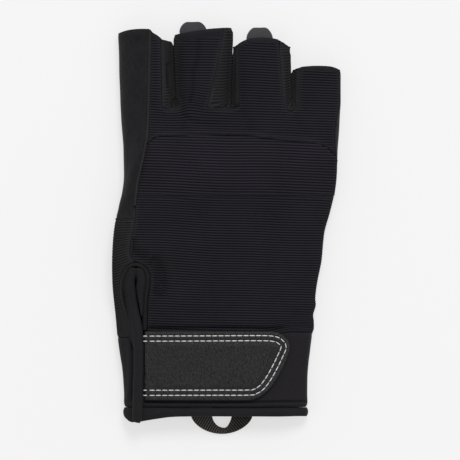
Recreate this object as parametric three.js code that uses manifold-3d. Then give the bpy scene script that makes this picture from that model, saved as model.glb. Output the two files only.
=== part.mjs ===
// A fingerless climbing glove for the right hand, lying palm down with the back of the hand up.
// Millimetres, +Z up, fingers along +Y, thumb side at -X, thumb folded away under the palm.
import * as THREE from 'three';
import Module from 'manifold-3d';

const wasm = await Module();
wasm.setup();

// Main sizes of the glove
const palmWidth = 96;
const handLength = 103.5;
const cuffLength = 31.5;
const hemLength = 4.2;
const indexLength = 35.1;
const indexSideStep = 4.6;
const middleLength = 34.4;
const middlePalmReach = 0.6;
const ringLength = 31;
const littleLength = 18.4;

// Heights that the empty glove stands to, and of its side edges
const handHeight = 14;
const cuffHeight = 12.5;
const sideHeight = 4.8;
const indexHeight = 12;
const middleHeight = 14;
const ringHeight = 12.8;
const littleHeight = 11.5;

// Walls and what is sewn on them
const knitWall = 1.4;
const suedeWall = 1.2;
const cuffWall = 1.5;
const hemWall = 2;
const gussetWall = 1.2;
const seamGap = 0.3;
const padRise = 1.7;
const padSlope = 0.7;
const hemRise = 0.7;
const ridgeRise = 0.4;
const hemDrop = 2.8;
const sideWrap = 3.2;
const lowerSeamInset = 3.4;
const crotchDepth = 2.2;
const knuckleBlend = 24;
const wristBlend = 40;
const wristRise = 18;

// Thumb stall, folded under the palm
const thumbLength = 50;
const thumbWidth = 31;
const thumbTipWidth = 28;
const thumbRootWidth = 24;
const thumbHeight = 7.2;
const thumbWall = 1.2;
const thumbSlope = 15;
const thumbTurn = 54;
const thumbRootReach = 12;
const liftMargin = 2;
const liftFade = 19;
const crownFade = 45;
const crownShare = 0.45;

// Wrist strap, slit edges, hanging loop, pull tabs and side piping
const strapLength = 65.3;
const strapWidth = 31;
const strapThick = 1.8;
const strapOverlap = 2.7;
const rollThick = 3;
const weltWidth = 1.35;
const weltHeight = 2;
const weltSink = 1;
const weltClearance = 0.5;
const webbingThick = 1.2;
const loopSpan = 27.6;
const loopDrop = 8.1;
const loopHoleSpan = 8.7;
const loopHoleDepth = 5.3;
const loopTuck = 5;
const middleTabWidth = 12.6;
const middleTabReach = 3.4;
const ringTabWidth = 12.2;
const ringTabReach = 4.8;
const tabTuck = 6;
const tabThick = 1.3;
const tabLift = 2.2;
const tuckedShare = 0.7;
const pipingWidth = 1.2;
const pipingHeight = 0.9;
const pipingLift = 0.6;

const halfWidth = palmWidth / 2;
const cuffEnd = -handLength - cuffLength;
const hemEnd = cuffEnd - hemLength;

// Outline of the hand from above. down: share of the hand's length below the finger crotches.
// left, right: edges of the hand as shares of half the palm's width.
const outline = [
  { down: 0.0, left: 1.056, right: 1.026 },
  { down: 0.1, left: 1.036, right: 1.017 },
  { down: 0.18, left: 1.024, right: 1.003 },
  { down: 0.32, left: 1.026, right: 0.978 },
  { down: 0.4, left: 1.05, right: 0.952 },
  { down: 0.47, left: 1.088, right: 0.918 },
  { down: 0.54, left: 1.112, right: 0.874 },
  { down: 0.66, left: 1.128, right: 0.848 },
  { down: 0.76, left: 1.126, right: 0.806 },
  { down: 0.84, left: 1.112, right: 0.783 },
  { down: 0.92, left: 1.095, right: 0.773 },
  { down: 1.0, left: 1.083, right: 0.758 },
];

// Outline of the cuff and hem, down: share of the cuff's length below the cuff seam
const cuffOutline = [
  { down: 0.0, left: 1.073, right: 0.74 },
  { down: 0.2, left: 1.06, right: 0.726 },
  { down: 0.5, left: 1.034, right: 0.71 },
  { down: 0.9, left: 1.017, right: 0.7 },
  { down: 1.3, left: 1.008, right: 0.694 },
];

// Edges of the knit back: left on top of the hand, right as how far the seam lies above the
// side edge, as a share of sideWrap (negative once the knit wraps under the edge)
const backEdges = [
  { down: 0.0, left: -0.787, rightRise: 1.1 },
  { down: 0.08, left: -0.79, rightRise: 1.45 },
  { down: 0.14, left: -0.8, rightRise: 1.6 },
  { down: 0.2, left: -0.822, rightRise: 1.35 },
  { down: 0.25, left: -0.843, rightRise: 1.0 },
  { down: 0.33, left: -0.885, rightRise: 0.5 },
  { down: 0.387, left: -0.9, rightRise: -0.3 },
  { down: 0.43, left: -0.909, rightRise: -1.0 },
  { down: 0.5, left: -0.914, rightRise: -1.0 },
  { down: 0.53, left: -0.924, rightRise: -1.0 },
  { down: 0.56, left: -0.945, rightRise: -1.0 },
  { down: 0.59, left: -0.962, rightRise: -1.0 },
  { down: 0.65, left: -0.968, rightRise: -1.0 },
  { down: 0.672, left: -0.914, rightRise: -1.0 },
  { down: 0.68, left: -0.844, rightRise: -1.0 },
  { down: 0.695, left: -0.806, rightRise: -1.0 },
  { down: 0.72, left: -0.773, rightRise: -1.0 },
  { down: 0.755, left: -0.764, rightRise: -1.0 },
  { down: 0.8, left: -0.783, rightRise: -1.0 },
  { down: 0.85, left: -0.793, rightRise: -1.0 },
  { down: 1.0, left: -0.8, rightRise: -1.0 },
];

// Right edge of the thumb gusset, on top of the hand, and left edge of the slit
const gussetEdge = [
  { down: 0.43, x: -0.909 },
  { down: 0.5, x: -0.914 },
  { down: 0.53, x: -0.924 },
  { down: 0.56, x: -0.945 },
  { down: 0.59, x: -0.962 },
  { down: 0.65, x: -0.968 },
  { down: 0.672, x: -0.914 },
  { down: 0.68, x: -0.966 },
  { down: 0.695, x: -1.003 },
  { down: 0.72, x: -1.038 },
  { down: 0.755, x: -1.06 },
  { down: 0.8, x: -1.066 },
  { down: 0.85, x: -1.051 },
  { down: 0.9, x: -1.019 },
  { down: 0.95, x: -0.987 },
  { down: 1.0, x: -0.962 },
];

// Fingers from thumb side to little side. Edges and back seams as shares of half the palm's width,
// slant and round as shares of the finger's length: how its open end tilts and bows.
// reach: how much longer its palm side is. step: how much shorter its right side is.
const fingers = [
  {
    name: 'index', length: indexLength, height: indexHeight, slant: 0.02, round: 0.05, reach: 0,
    step: indexSideStep,
    root: { left: -1.056, right: -0.5305, seamLeft: -0.787, seamRight: -0.66 },
    tip: { left: -1.079, right: -0.558, seamLeft: -0.773, seamRight: -0.668 },
  },
  {
    name: 'middle', length: middleLength, height: middleHeight, slant: 0.09, round: 0.03,
    reach: middlePalmReach, step: 0,
    root: { left: -0.52, right: -0.017, seamLeft: -0.485, seamRight: -0.235 },
    tip: { left: -0.5505, right: 0.001, seamLeft: -0.516, seamRight: -0.072 },
  },
  {
    name: 'ring', length: ringLength, height: ringHeight, slant: 0, round: 0.14, reach: 0, step: 0,
    root: { left: -0.007, right: 0.553, seamLeft: 0.054, seamRight: 0.484 },
    tip: { left: 0.009, right: 0.541, seamLeft: 0.045, seamRight: 0.437 },
  },
  {
    name: 'little', length: littleLength, height: littleHeight, slant: 0, round: 0.11, reach: 0,
    step: 0,
    root: { left: 0.563, right: 1.026, seamLeft: 0.606, seamRight: 0.972 },
    tip: { left: 0.553, right: 1.023, seamLeft: 0.63, seamRight: 0.985 },
  },
];

// Rows of the sewn panels, as shares of the hand's length below the crotches
const padTopRow = 0.123;
const padBottomRow = 0.387;
const pipingEndRow = 0.43;
const notchRow = 0.485;
const slitHead = 0.672;
const upperRows = [0, 0.04, 0.08, padTopRow];
const padRows = [padTopRow, 0.165, 0.22, 0.28, 0.335, padBottomRow];
const lowerRows = [
  padBottomRow, pipingEndRow, notchRow, 0.53, 0.56, 0.59, 0.65, slitHead, 0.68, 0.695, 0.72,
  0.755, 0.8, 0.85, 0.9, 0.95, 1,
];
const handRows = [...upperRows, ...padRows.slice(1), ...lowerRows.slice(1)];
const fingerSteps = 6;

// Cells across each finger's back, its palm side, and the web between two fingers
const backCells = [2, 5, 5, 2];
const palmCells = [3, 3, 3, 2];
const webCells = 2;
const wrapCells = [2, 4];
const gussetCells = 5;
const cornerRun = 9;
const turnShare = 0.6;
const cornerCells = 3;
const cornerShares = [1, 2, 3].map((k) => k / cornerCells);
const loopSamples = 48;

// Looks a value up in a table by linear steps with rounded corners between its rows
function read(table, at, column) {
  const n = table.length;
  const key = 'down';
  if (at <= table[0][key]) return table[0][column];
  if (at >= table[n - 1][key]) return table[n - 1][column];
  let i = 0;
  while (table[i + 1][key] < at) i++;
  const [a, b] = [table[i], table[i + 1]];
  const before = table[Math.max(i - 1, 0)];
  const after = table[Math.min(i + 2, n - 1)];
  const width = b[key] - a[key];
  const slope = (b[column] - a[column]) / width;
  const slopeIn = limited(a[column] - before[column], a[key] - before[key], slope);
  const slopeOut = limited(after[column] - b[column], after[key] - b[key], slope);
  const t = (at - a[key]) / width;
  const bend = t * (1 - t) * width * ((1 - t) * (slopeIn - slope) - t * (slopeOut - slope));
  return a[column] + slope * width * t + bend;
}

// Slope at a table row that never overshoots: zero where the neighbours turn back
function limited(rise, run, slope) {
  if (run === 0) return slope;
  const other = rise / run;
  return other * slope <= 0 ? 0 : (2 * other * slope) / (other + slope);
}

const mix = (a, b, t) => a + (b - a) * t;
const clamp = (v, low, high) => Math.min(high, Math.max(low, v));

function smooth(t) {
  const c = clamp(t, 0, 1);
  return c * c * (3 - 2 * c);
}

// Height of a cushion-shaped arch: 1 in the middle, 0 at the edges, rounder for a small power
function arch(x, left, right, power) {
  const s = clamp(Math.abs((2 * x - left - right) / (right - left)), 0, 1);
  return (1 - s ** power) ** (1 / power);
}

// The folded thumb lifts the palm above it
const thumbRoot = new THREE.Vector2(-0.77 * halfWidth, -0.62 * handLength);
const thumbAxis = new THREE.Vector2(1, 0).rotateAround(new THREE.Vector2(), (thumbTurn * Math.PI) / 180);
const thumbAcross = new THREE.Vector2(-thumbAxis.y, thumbAxis.x);

function thumbLift(x, y, fade = liftFade) {
  const from = new THREE.Vector2(x, y).sub(thumbRoot);
  const along = from.dot(thumbAxis);
  const beyond = Math.max(along - thumbLength, -along - thumbRootReach, 0);
  const beside = Math.max(Math.abs(from.dot(thumbAcross)) - thumbWidth / 2, 0);
  const away = Math.hypot(beyond, beside) - liftMargin;
  const cuffHold = smooth((y + handLength) / fade);
  return (thumbHeight + seamGap) * smooth(1 - away / fade) * cuffHold;
}

// Edges of one finger's lobe at a share of its length
function fingerEdges(finger, share) {
  const edges = {};
  for (const key of Object.keys(finger.root)) {
    edges[key] = halfWidth * mix(finger.root[key], finger.tip[key], share);
  }
  return edges;
}

const fingerTop = (finger, x, { left, right }) =>
  sideHeight + (finger.height - sideHeight) * arch(x, left, right, 2.3);

const restBottom = (x, left, right) => Math.max(0, sideHeight * (1 - 1.06 * arch(x, left, right, 3.2)));

// The four fingers' tops side by side at the crotches, with a straight web between two backs
function knuckleTop(x) {
  for (let i = 0; i < fingers.length; i++) {
    const edges = fingerEdges(fingers[i], 0);
    const last = i === fingers.length - 1;
    if (x <= edges.seamRight || last) return fingerTop(fingers[i], x, edges);
    const next = fingerEdges(fingers[i + 1], 0);
    if (x < next.seamLeft) {
      const share = (x - edges.seamRight) / (next.seamLeft - edges.seamRight);
      const here = fingerTop(fingers[i], edges.seamRight, edges);
      return mix(here, fingerTop(fingers[i + 1], next.seamLeft, next), share);
    }
  }
  return sideHeight;
}

// Left and right edge and inner heights of the glove at a distance y from the crotches
function bodyEdges(y) {
  const onHand = y >= -handLength;
  const table = onHand ? outline : cuffOutline;
  const down = onHand ? -y / handLength : (-handLength - y) / cuffLength;
  return { left: -halfWidth * read(table, down, 'left'), right: halfWidth * read(table, down, 'right') };
}

function bodyTop(x, y, { left, right }) {
  const knuckles = smooth(1 + y / knuckleBlend);
  const height = mix(cuffHeight, handHeight, smooth((y + handLength + wristRise) / wristBlend));
  const side = sideHeight + thumbLift(left, y) * (1 - smooth((x - left) / (right - left)));
  const crown = height + crownShare * thumbLift(x, y, crownFade);
  const body = side + (crown - side) * arch(x, left, right, 3);
  return knuckles > 0 ? mix(body, knuckleTop(x), knuckles) : body;
}

function bodyBottom(x, y, { left, right }) {
  const side = sideHeight + thumbLift(left, y) * (1 - smooth((x - left) / (right - left)));
  const lift = thumbLift(x, y);
  const flat = Math.max(0, side * (1 - 1.06 * arch(x, left, right, 3.6)));
  return Math.max(flat, lift * Math.min(1, 1.06 * arch(x, left, right, 3.6)));
}

// A closed section: from the top centre over the left edge, along the bottom, over the right edge
function makeLoop(y, left, right, topAt, bottomAt) {
  const count = 4 * loopSamples;
  const points = [];
  for (let i = 0; i <= count; i++) {
    const turn = (2 * Math.PI * i) / count;
    const x = (left + right) / 2 - ((right - left) / 2) * Math.sin(turn);
    const upper = i <= loopSamples || i >= 3 * loopSamples;
    points.push(new THREE.Vector3(x, y, upper ? topAt(x) : bottomAt(x)));
  }
  const lengths = [0];
  for (let i = 1; i <= count; i++) lengths.push(lengths[i - 1] + points[i].distanceTo(points[i - 1]));
  return { points, lengths, total: lengths[count] };
}

const loopCache = new Map();

function bodyLoop(y) {
  const key = y.toFixed(4);
  if (!loopCache.has(key)) {
    const edges = bodyEdges(y);
    const top = (x) => bodyTop(x, y, edges);
    const bottom = (x) => bodyBottom(x, y, edges);
    loopCache.set(key, makeLoop(y, edges.left, edges.right, top, bottom));
  }
  return loopCache.get(key);
}

function fingerLoop(finger, share) {
  const key = `${finger.name} ${share.toFixed(4)}`;
  if (!loopCache.has(key)) {
    const edges = fingerEdges(finger, share);
    const top = (x) => fingerTop(finger, x, edges);
    const bottom = (x) => restBottom(x, edges.left, edges.right);
    loopCache.set(key, makeLoop(share * finger.length, edges.left, edges.right, top, bottom));
  }
  return loopCache.get(key);
}

// The point and outward normal at a length along a loop, counted from its top centre to the left
function onLoop(loop, along) {
  const at = ((along % loop.total) + loop.total) % loop.total;
  const step = 0.6;
  const point = pointOn(loop, at);
  const tangent = pointOn(loop, at + step).sub(pointOn(loop, at - step));
  const normal = new THREE.Vector3(-tangent.z, 0, tangent.x).negate().normalize();
  return { point, normal };
}

function pointOn(loop, along) {
  const at = ((along % loop.total) + loop.total) % loop.total;
  let low = 0;
  let high = loop.lengths.length - 1;
  while (high - low > 1) {
    const half = (low + high) >> 1;
    if (loop.lengths[half] <= at) low = half;
    else high = half;
  }
  const share = (at - loop.lengths[low]) / (loop.lengths[high] - loop.lengths[low]);
  return loop.points[low].clone().lerp(loop.points[high], share);
}

// Length along a loop to the place on its top, or bottom, at x; places on the right are past the end
function whereOnLoop(loop, x, part) {
  const [from, to] = part === 'bottom' ? [loopSamples, 3 * loopSamples] : [-loopSamples, loopSamples];
  const count = 4 * loopSamples;
  const wrap = (i) => ((i % count) + count) % count;
  const lengthAt = (i) => loop.lengths[wrap(i)] - (i < 0 ? loop.total : 0);
  const sign = part === 'bottom' ? 1 : -1;
  for (let i = from; i < to; i++) {
    const a = loop.points[wrap(i)].x;
    const b = loop.points[wrap(i + 1)].x;
    if (sign * (x - a) >= 0 && sign * (x - b) <= 0) {
      const last = i + 1 === 0 ? 0 : lengthAt(i + 1);
      return mix(lengthAt(i), last, b === a ? 0 : (x - a) / (b - a));
    }
  }
  return part === 'bottom' ? lengthAt(to) : lengthAt(sign * (x - loop.points[0].x) > 0 ? to : from);
}

const leftEdgeOf = (loop) => loop.lengths[loopSamples];
const rightEdgeOf = (loop) => loop.lengths[3 * loopSamples] - loop.total;

// Points between two lengths on a loop, the ends moved in by half a seam gap
function arc(loop, from, to, cells) {
  const inset = (seamGap / 2) * Math.sign(to - from);
  return runs(loop, [from + inset, to - inset], [cells]);
}

// Places on a loop at the ends of runs of cells: marks are lengths along it, cells[i] between two
function runs(loop, marks, cells) {
  const places = [onLoop(loop, marks[0])];
  cells.forEach((count, i) => {
    for (let k = 1; k <= count; k++) places.push(onLoop(loop, mix(marks[i], marks[i + 1], k / count)));
  });
  return places;
}

// A closed solid from rows of skin points: outer face, inner face a wall below, and all edges.
// present(row, cell) leaves cells out, rise(row, column, normal) lifts the outer face.
function sheet(rows, wall, { present = () => true, rise = () => 0 } = {}) {
  const columns = rows[0].length;
  const positions = [];
  const outer = (r, c) => r * columns + c;
  const innerShift = rows.length * columns;
  for (const depth of [1, -wall]) {
    rows.forEach((row, r) => {
      row.forEach(({ point, normal }, c) => {
        const offset = depth === 1 ? rise(r, c, normal) : depth;
        positions.push(...point.clone().addScaledVector(normal, offset).toArray());
      });
    });
  }
  const cell = (r, c) => r >= 0 && c >= 0 && r < rows.length - 1 && c < columns - 1 && present(r, c);
  const faces = [];
  const quad = (a, b, c, d) => faces.push(a, b, c, a, c, d);
  for (let r = 0; r < rows.length - 1; r++) {
    for (let c = 0; c < columns - 1; c++) {
      if (!cell(r, c)) continue;
      const corners = [outer(r, c), outer(r, c + 1), outer(r + 1, c + 1), outer(r + 1, c)];
      const below = corners.map((i) => i + innerShift);
      quad(...corners);
      quad(below[3], below[2], below[1], below[0]);
      const neighbours = [[r - 1, c], [r, c + 1], [r + 1, c], [r, c - 1]];
      neighbours.forEach(([nr, nc], side) => {
        if (cell(nr, nc)) return;
        const next = (side + 1) % 4;
        quad(corners[next], corners[side], below[side], below[next]);
      });
    }
  }
  return outwards(toGeometry(positions, faces));
}

function toGeometry(positions, faces) {
  const used = new Map();
  const kept = [];
  const index = faces.map((i) => {
    if (!used.has(i)) {
      used.set(i, kept.length / 3);
      kept.push(positions[3 * i], positions[3 * i + 1], positions[3 * i + 2]);
    }
    return used.get(i);
  });
  const geometry = new THREE.BufferGeometry();
  geometry.setAttribute('position', new THREE.Float32BufferAttribute(kept, 3));
  geometry.setIndex(index);
  return geometry;
}

// Turns a closed geometry's faces over if they point inwards
function outwards(geometry) {
  const p = geometry.attributes.position;
  const index = geometry.index.array;
  const [a, b, c] = [new THREE.Vector3(), new THREE.Vector3(), new THREE.Vector3()];
  let volume = 0;
  for (let i = 0; i < index.length; i += 3) {
    a.fromBufferAttribute(p, index[i]);
    b.fromBufferAttribute(p, index[i + 1]);
    c.fromBufferAttribute(p, index[i + 2]);
    volume += a.dot(b.cross(c));
  }
  if (volume < 0) geometry.setIndex(Array.from(index).reverse());
  return geometry;
}

// A closed solid through closed sections, each with the same number of points
function loft(sections) {
  const count = sections[0].length;
  const positions = sections.flat().flatMap((p) => p.toArray());
  const faces = [];
  for (let s = 0; s < sections.length - 1; s++) {
    for (let i = 0; i < count; i++) {
      const [a, b] = [s * count + i, s * count + ((i + 1) % count)];
      faces.push(a, b, b + count, a, b + count, a + count);
    }
  }
  const last = (sections.length - 1) * count;
  for (let i = 1; i < count - 1; i++) faces.push(0, i + 1, i, last, last + i, last + i + 1);
  return outwards(toGeometry(positions, faces));
}

const toSolid = (geometry) =>
  new wasm.Manifold(new wasm.Mesh({
    numProp: 3,
    vertProperties: new Float32Array(geometry.attributes.position.array),
    triVerts: new Uint32Array(geometry.index.array),
  }));

function fromSolid(solid) {
  const mesh = solid.getMesh();
  const geometry = new THREE.BufferGeometry();
  geometry.setAttribute('position', new THREE.BufferAttribute(mesh.vertProperties, 3));
  geometry.setIndex(new THREE.BufferAttribute(mesh.triVerts, 1));
  return geometry;
}

// Distance from the crotch of a place on a finger, whose open end tilts and bows
function fingerY(finger, share, { x, z }) {
  const { left, right } = fingerEdges(finger, share);
  const s = (2 * x - left - right) / (right - left);
  const end = finger.length * (finger.slant * 0.5 * s - finger.round * Math.abs(s) ** 3);
  const below = smooth(1.25 - (1.5 * z) / finger.height);
  const setBack = finger.step * smooth((s - 0.1) / 0.4);
  return finger.length * share + (end + finger.reach * below - setBack) * share ** 3;
}

function placedOnFinger(finger, share, { point, normal }) {
  return { point: point.clone().setY(fingerY(finger, share, point)), normal };
}

// Shares of the finger's length at its rows
const fingerRows = Array.from({ length: fingerSteps + 1 }, (_, i) => i / fingerSteps);

// One row of a comb of fingers: each finger's runs of cells, with web cells between two fingers
function combRow(share, runOf) {
  const row = [];
  fingers.forEach((finger, i) => {
    const loop = fingerLoop(finger, share);
    const { marks, cells } = runOf(i, loop, fingerEdges(finger, share));
    const part = runs(loop, marks, cells).map((place) => placedOnFinger(finger, share, place));
    if (i > 0) {
      const before = row[row.length - 1];
      for (let w = 1; w < webCells; w++) row.push(webPoint(before, part[0], w / webCells));
    }
    row.push(...part);
  });
  return row;
}

function webPoint(a, b, share) {
  const point = a.point.clone().lerp(b.point, share);
  point.y -= crotchDepth * Math.sin(Math.PI * share) + seamGap / 2;
  const normal = a.normal.clone().lerp(b.normal, share).normalize();
  return { point, normal };
}

// Which cells of a comb row are web, and so end at the crotches
function webColumns(cellsOf) {
  const web = new Set();
  let column = 0;
  cellsOf.slice(0, -1).forEach((cells) => {
    column += cells;
    for (let w = 0; w < webCells; w++) web.add(column++);
  });
  return web;
}

// Back of the hand and fingers: from its left seam over the top to its right seam
const lastFinger = fingers.length - 1;
const half = seamGap / 2;
const rightSeam = (loop, down) => rightEdgeOf(loop) + sideWrap * read(backEdges, down, 'rightRise');

const backMarks = (y) => {
  const loop = bodyLoop(y);
  const down = -y / handLength;
  const left = whereOnLoop(loop, halfWidth * read(backEdges, down, 'left'), 'top');
  return { loop, left, corner: rightEdgeOf(loop) + cornerRun, right: rightSeam(loop, down) };
};

const backComb = (share) =>
  combRow(share, (i, loop, edges) => {
    const left = whereOnLoop(loop, edges.seamLeft, 'top') - half;
    if (i < lastFinger) {
      const right = whereOnLoop(loop, edges.seamRight, 'top') + half;
      return { marks: [left, right], cells: [backCells[i]] };
    }
    const corner = rightEdgeOf(loop) + cornerRun;
    return { marks: [left, corner, rightSeam(loop, 0) + half], cells: [backCells[i], cornerCells] };
  });

// Shares between the left seam and the right corner of the columns of the crotch row
const backRootRow = backComb(0);
const backShares = (() => {
  const { loop, left, corner } = backMarks(0);
  const start = left - half;
  return backRootRow.slice(0, -cornerCells).map(({ point }) => {
    const at = whereOnLoop(loop, point.x, 'top');
    return clamp((at - start) / (corner - start), 0, 1);
  });
})();

// The pad's upper edge is high in the middle and turns down at both sides; the rows near it follow
function padBow(share) {
  const leftTurn = smooth(1 - share / 0.05);
  const rightTurn = clamp((share - 0.84) / 0.16, 0, 1) ** 3;
  const lean = smooth((share - 0.5) / 0.3);
  return -(0.039 * leftTurn + 0.068 * rightTurn + 0.025 * lean) * handLength;
}

const bowAt = (down) => smooth(1 - Math.abs(down - padTopRow) / 0.13);
const backY = (down, share) => -down * handLength + bowAt(down) * padBow(share);

function backRow(down) {
  const across = ({ left, corner, right }) => [
    ...backShares.map((share) => mix(left - half, corner, share)),
    ...cornerShares.map((share) => mix(corner, right + half, share)),
  ];
  const plain = backMarks(-down * handLength);
  return across(plain).map((at, column) => {
    const share = (plain.left - half - at) / (plain.left - plain.right - 2 * half);
    const marks = backMarks(backY(down, share));
    return onLoop(marks.loop, across(marks)[column]);
  });
}

// Moves a whole row along the hand to open the seam gap to the next panel
function shifted(row, dy) {
  return row.map(({ point, normal }) => ({ point: point.clone().setY(point.y + dy), normal }));
}

function backUpper() {
  const hand = [...upperRows].reverse().map((down) => (down === 0 ? backRootRow : backRow(down)));
  hand[0] = shifted(hand[0], seamGap / 2);
  const rows = [...hand, ...fingerRows.slice(1).map(backComb)];
  const web = webColumns(backCells);
  const present = (r, c) => r < hand.length - 1 || !web.has(c);
  return sheet(rows, knitWall, { present });
}

function knucklePad() {
  const rows = [...padRows].reverse().map((down) => backRow(down));
  rows[0] = shifted(rows[0], seamGap / 2);
  rows[rows.length - 1] = shifted(rows[rows.length - 1], -seamGap / 2);
  const lastRow = rows.length - 1;
  const lastColumn = rows[0].length - 1;
  const rise = (r, c) => padRise * Math.min(1, padSlope * Math.min(r, lastRow - r, c, lastColumn - c));
  return sheet(rows, knitWall, { rise });
}

function backLower() {
  const rows = [...lowerRows].reverse().map((down) => backRow(down));
  rows[0] = shifted(rows[0], seamGap / 2);
  rows[rows.length - 1] = shifted(rows[rows.length - 1], -seamGap / 2);
  return sheet(rows, knitWall);
}

// Palm: from the seam on top of the thumb side, round that edge, along the bottom to the far edge
const lowerEdge = (loop) => leftEdgeOf(loop) + sideWrap;
const farEdge = (loop) => loop.lengths[3 * loopSamples];

function wrapRun(loop, seam) {
  const edge = leftEdgeOf(loop);
  const corner = edge - Math.min(cornerRun, turnShare * (edge - seam));
  return runs(loop, [seam + half, corner, lowerEdge(loop)], wrapCells);
}

const palmMarks = (y) => {
  const { loop, left, right } = backMarks(y);
  const corner = farEdge(loop) - cornerRun;
  return { loop, left, turn: lowerEdge(loop), corner, right: right + loop.total - half };
};

const palmComb = (share) => {
  const bottom = combRow(share, (i, loop, edges) => {
    const left = i === 0 ? lowerEdge(loop) : whereOnLoop(loop, edges.left + lowerSeamInset, 'bottom') + half;
    if (i < lastFinger) {
      const right = whereOnLoop(loop, edges.right - lowerSeamInset, 'bottom') - half;
      return { marks: [left, right], cells: [palmCells[i]] };
    }
    const right = rightSeam(loop, 0) + loop.total - half;
    return { marks: [left, farEdge(loop) - cornerRun, right], cells: [palmCells[i], cornerCells] };
  });
  const loop = fingerLoop(fingers[0], share);
  const seam = whereOnLoop(loop, fingerEdges(fingers[0], share).seamLeft, 'top');
  const wrap = wrapRun(loop, seam).slice(0, -1).map((place) => placedOnFinger(fingers[0], share, place));
  return [...wrap, ...bottom];
};

const wrapCount = wrapCells[0] + wrapCells[1];
const palmRootRow = palmComb(0);
const palmShares = (() => {
  const { loop, turn, corner } = palmMarks(0);
  return palmRootRow.slice(wrapCount, -cornerCells).map(({ point }) => {
    const at = whereOnLoop(loop, point.x, 'bottom');
    return clamp((at - turn) / (corner - turn), 0, 1);
  });
})();

// Palm rows follow the back's rows at both edges and run straight across between them
function palmRow(down) {
  const leftY = backY(down, 0);
  const rightY = backY(down, 1);
  const across = ({ turn, corner, right }) => [
    ...palmShares.map((share) => mix(turn, corner, share)),
    ...cornerShares.map((share) => mix(corner, right, share)),
  ];
  const edge = palmMarks(leftY);
  const bottom = across(edge).map((at, column) => {
    const share = (at - edge.turn) / (edge.right - edge.turn);
    const y = mix(mix(leftY, -down * handLength, smooth(5 * share)), rightY, smooth(5 * share - 4));
    const marks = palmMarks(y);
    return onLoop(marks.loop, across(marks)[column]);
  });
  return [...wrapRun(edge.loop, edge.left).slice(0, -1), ...bottom];
}

function palmSheet(wall) {
  const hand = [...handRows].reverse().map((down) => (down === 0 ? palmRootRow : palmRow(down)));
  hand[0] = shifted(hand[0], seamGap / 2);
  const rows = [...hand, ...fingerRows.slice(1).map(palmComb)];
  const web = webColumns([wrapCount + palmCells[0], ...palmCells.slice(1)]);
  const notch = handRows.length - 1 - handRows.indexOf(notchRow);
  const present = (r, c) => (r >= notch || c >= wrapCount) && (r < hand.length - 1 || !web.has(c));
  return sheet(rows, wall, { present });
}

// Knit gusset on the thumb side, from the notch in the palm down to the cuff
function thumbGusset() {
  const rows = handRows.filter((down) => down >= notchRow).reverse().map((down) => {
    const loop = bodyLoop(-down * handLength);
    const from = whereOnLoop(loop, halfWidth * read(gussetEdge, down, 'x'), 'top');
    return arc(loop, from, lowerEdge(loop), gussetCells);
  });
  rows[0] = shifted(rows[0], seamGap / 2);
  rows[rows.length - 1] = shifted(rows[rows.length - 1], -seamGap);
  return sheet(rows, gussetWall);
}

// Side wall between two fingers: down one finger, round the crotch and up the next
function fourchette(i) {
  const cells = 4;
  const right = fingerRows.map((share) => {
    const loop = fingerLoop(fingers[i], share);
    const edges = fingerEdges(fingers[i], share);
    const from = whereOnLoop(loop, edges.seamRight, 'top');
    const to = whereOnLoop(loop, edges.right - lowerSeamInset, 'bottom') - loop.total;
    return arc(loop, from, to, cells).map((place) => placedOnFinger(fingers[i], share, place));
  });
  const left = fingerRows.map((share) => {
    const loop = fingerLoop(fingers[i + 1], share);
    const edges = fingerEdges(fingers[i + 1], share);
    const from = whereOnLoop(loop, edges.seamLeft, 'top');
    const to = whereOnLoop(loop, edges.left + lowerSeamInset, 'bottom');
    return arc(loop, from, to, cells).map((place) => placedOnFinger(fingers[i + 1], share, place));
  });
  const base = right[0].map((a, t) => {
    const point = a.point.clone().lerp(left[0][t].point, 0.5);
    point.y -= crotchDepth - gussetWall - seamGap;
    return { point, normal: new THREE.Vector3(0, 1, 0) };
  });
  return sheet([...right.reverse(), base, ...left], gussetWall);
}

// Thumb stall: a flat tube from inside the hand down to the ground under the palm
function thumbSection(along, grow) {
  const share = clamp(along / thumbLength, -1, 1);
  const shaft = mix(thumbWidth, thumbTipWidth, Math.max(share, 0));
  const width = mix(thumbRootWidth, shaft, smooth(along / thumbSlope)) / 2 + grow;
  const height = thumbHeight / 2 + grow;
  const drop = smooth(along / thumbSlope);
  const centre = mix(thumbHeight * 1.45, thumbHeight / 2, drop);
  const middle = thumbRoot.clone().addScaledVector(thumbAxis, along);
  return (turn) => {
    const side = Math.sign(Math.cos(turn)) * Math.abs(Math.cos(turn)) ** 0.8 * width;
    const up = Math.sign(Math.sin(turn)) * Math.abs(Math.sin(turn)) ** 0.7 * height;
    const floor = grow < 0 ? -grow : 0;
    const flat = middle.clone().addScaledVector(thumbAcross, side);
    return new THREE.Vector3(flat.x, flat.y, Math.max(floor, centre + up * 1.04));
  };
}

const thumbRows = [-4, 2, 8, 14, 20, 27, 34, 42, thumbLength];

function thumbHalf(startTurn, hand) {
  const cells = 9;
  const gap = 0.03;
  const rows = thumbRows.map((along) => {
    const section = thumbSection(along, 0);
    return Array.from({ length: cells + 1 }, (_, i) => {
      const turn = startTurn + mix(gap, Math.PI - gap, i / cells);
      const inner = thumbSection(along, -thumbWall)(turn);
      const point = section(turn);
      return { point, normal: point.clone().sub(inner).divideScalar(thumbWall) };
    });
  });
  return fromSolid(toSolid(sheet(rows, thumbWall)).subtract(hand));
}

function thumbHollow() {
  const reach = [-5, ...thumbRows.slice(1, -1), thumbLength + 2];
  const turns = Array.from({ length: 16 }, (_, i) => (2 * Math.PI * i) / 16);
  return toSolid(loft(reach.map((along) => turns.map((turn) => thumbSection(along, -thumbWall)(turn)))));
}

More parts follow.
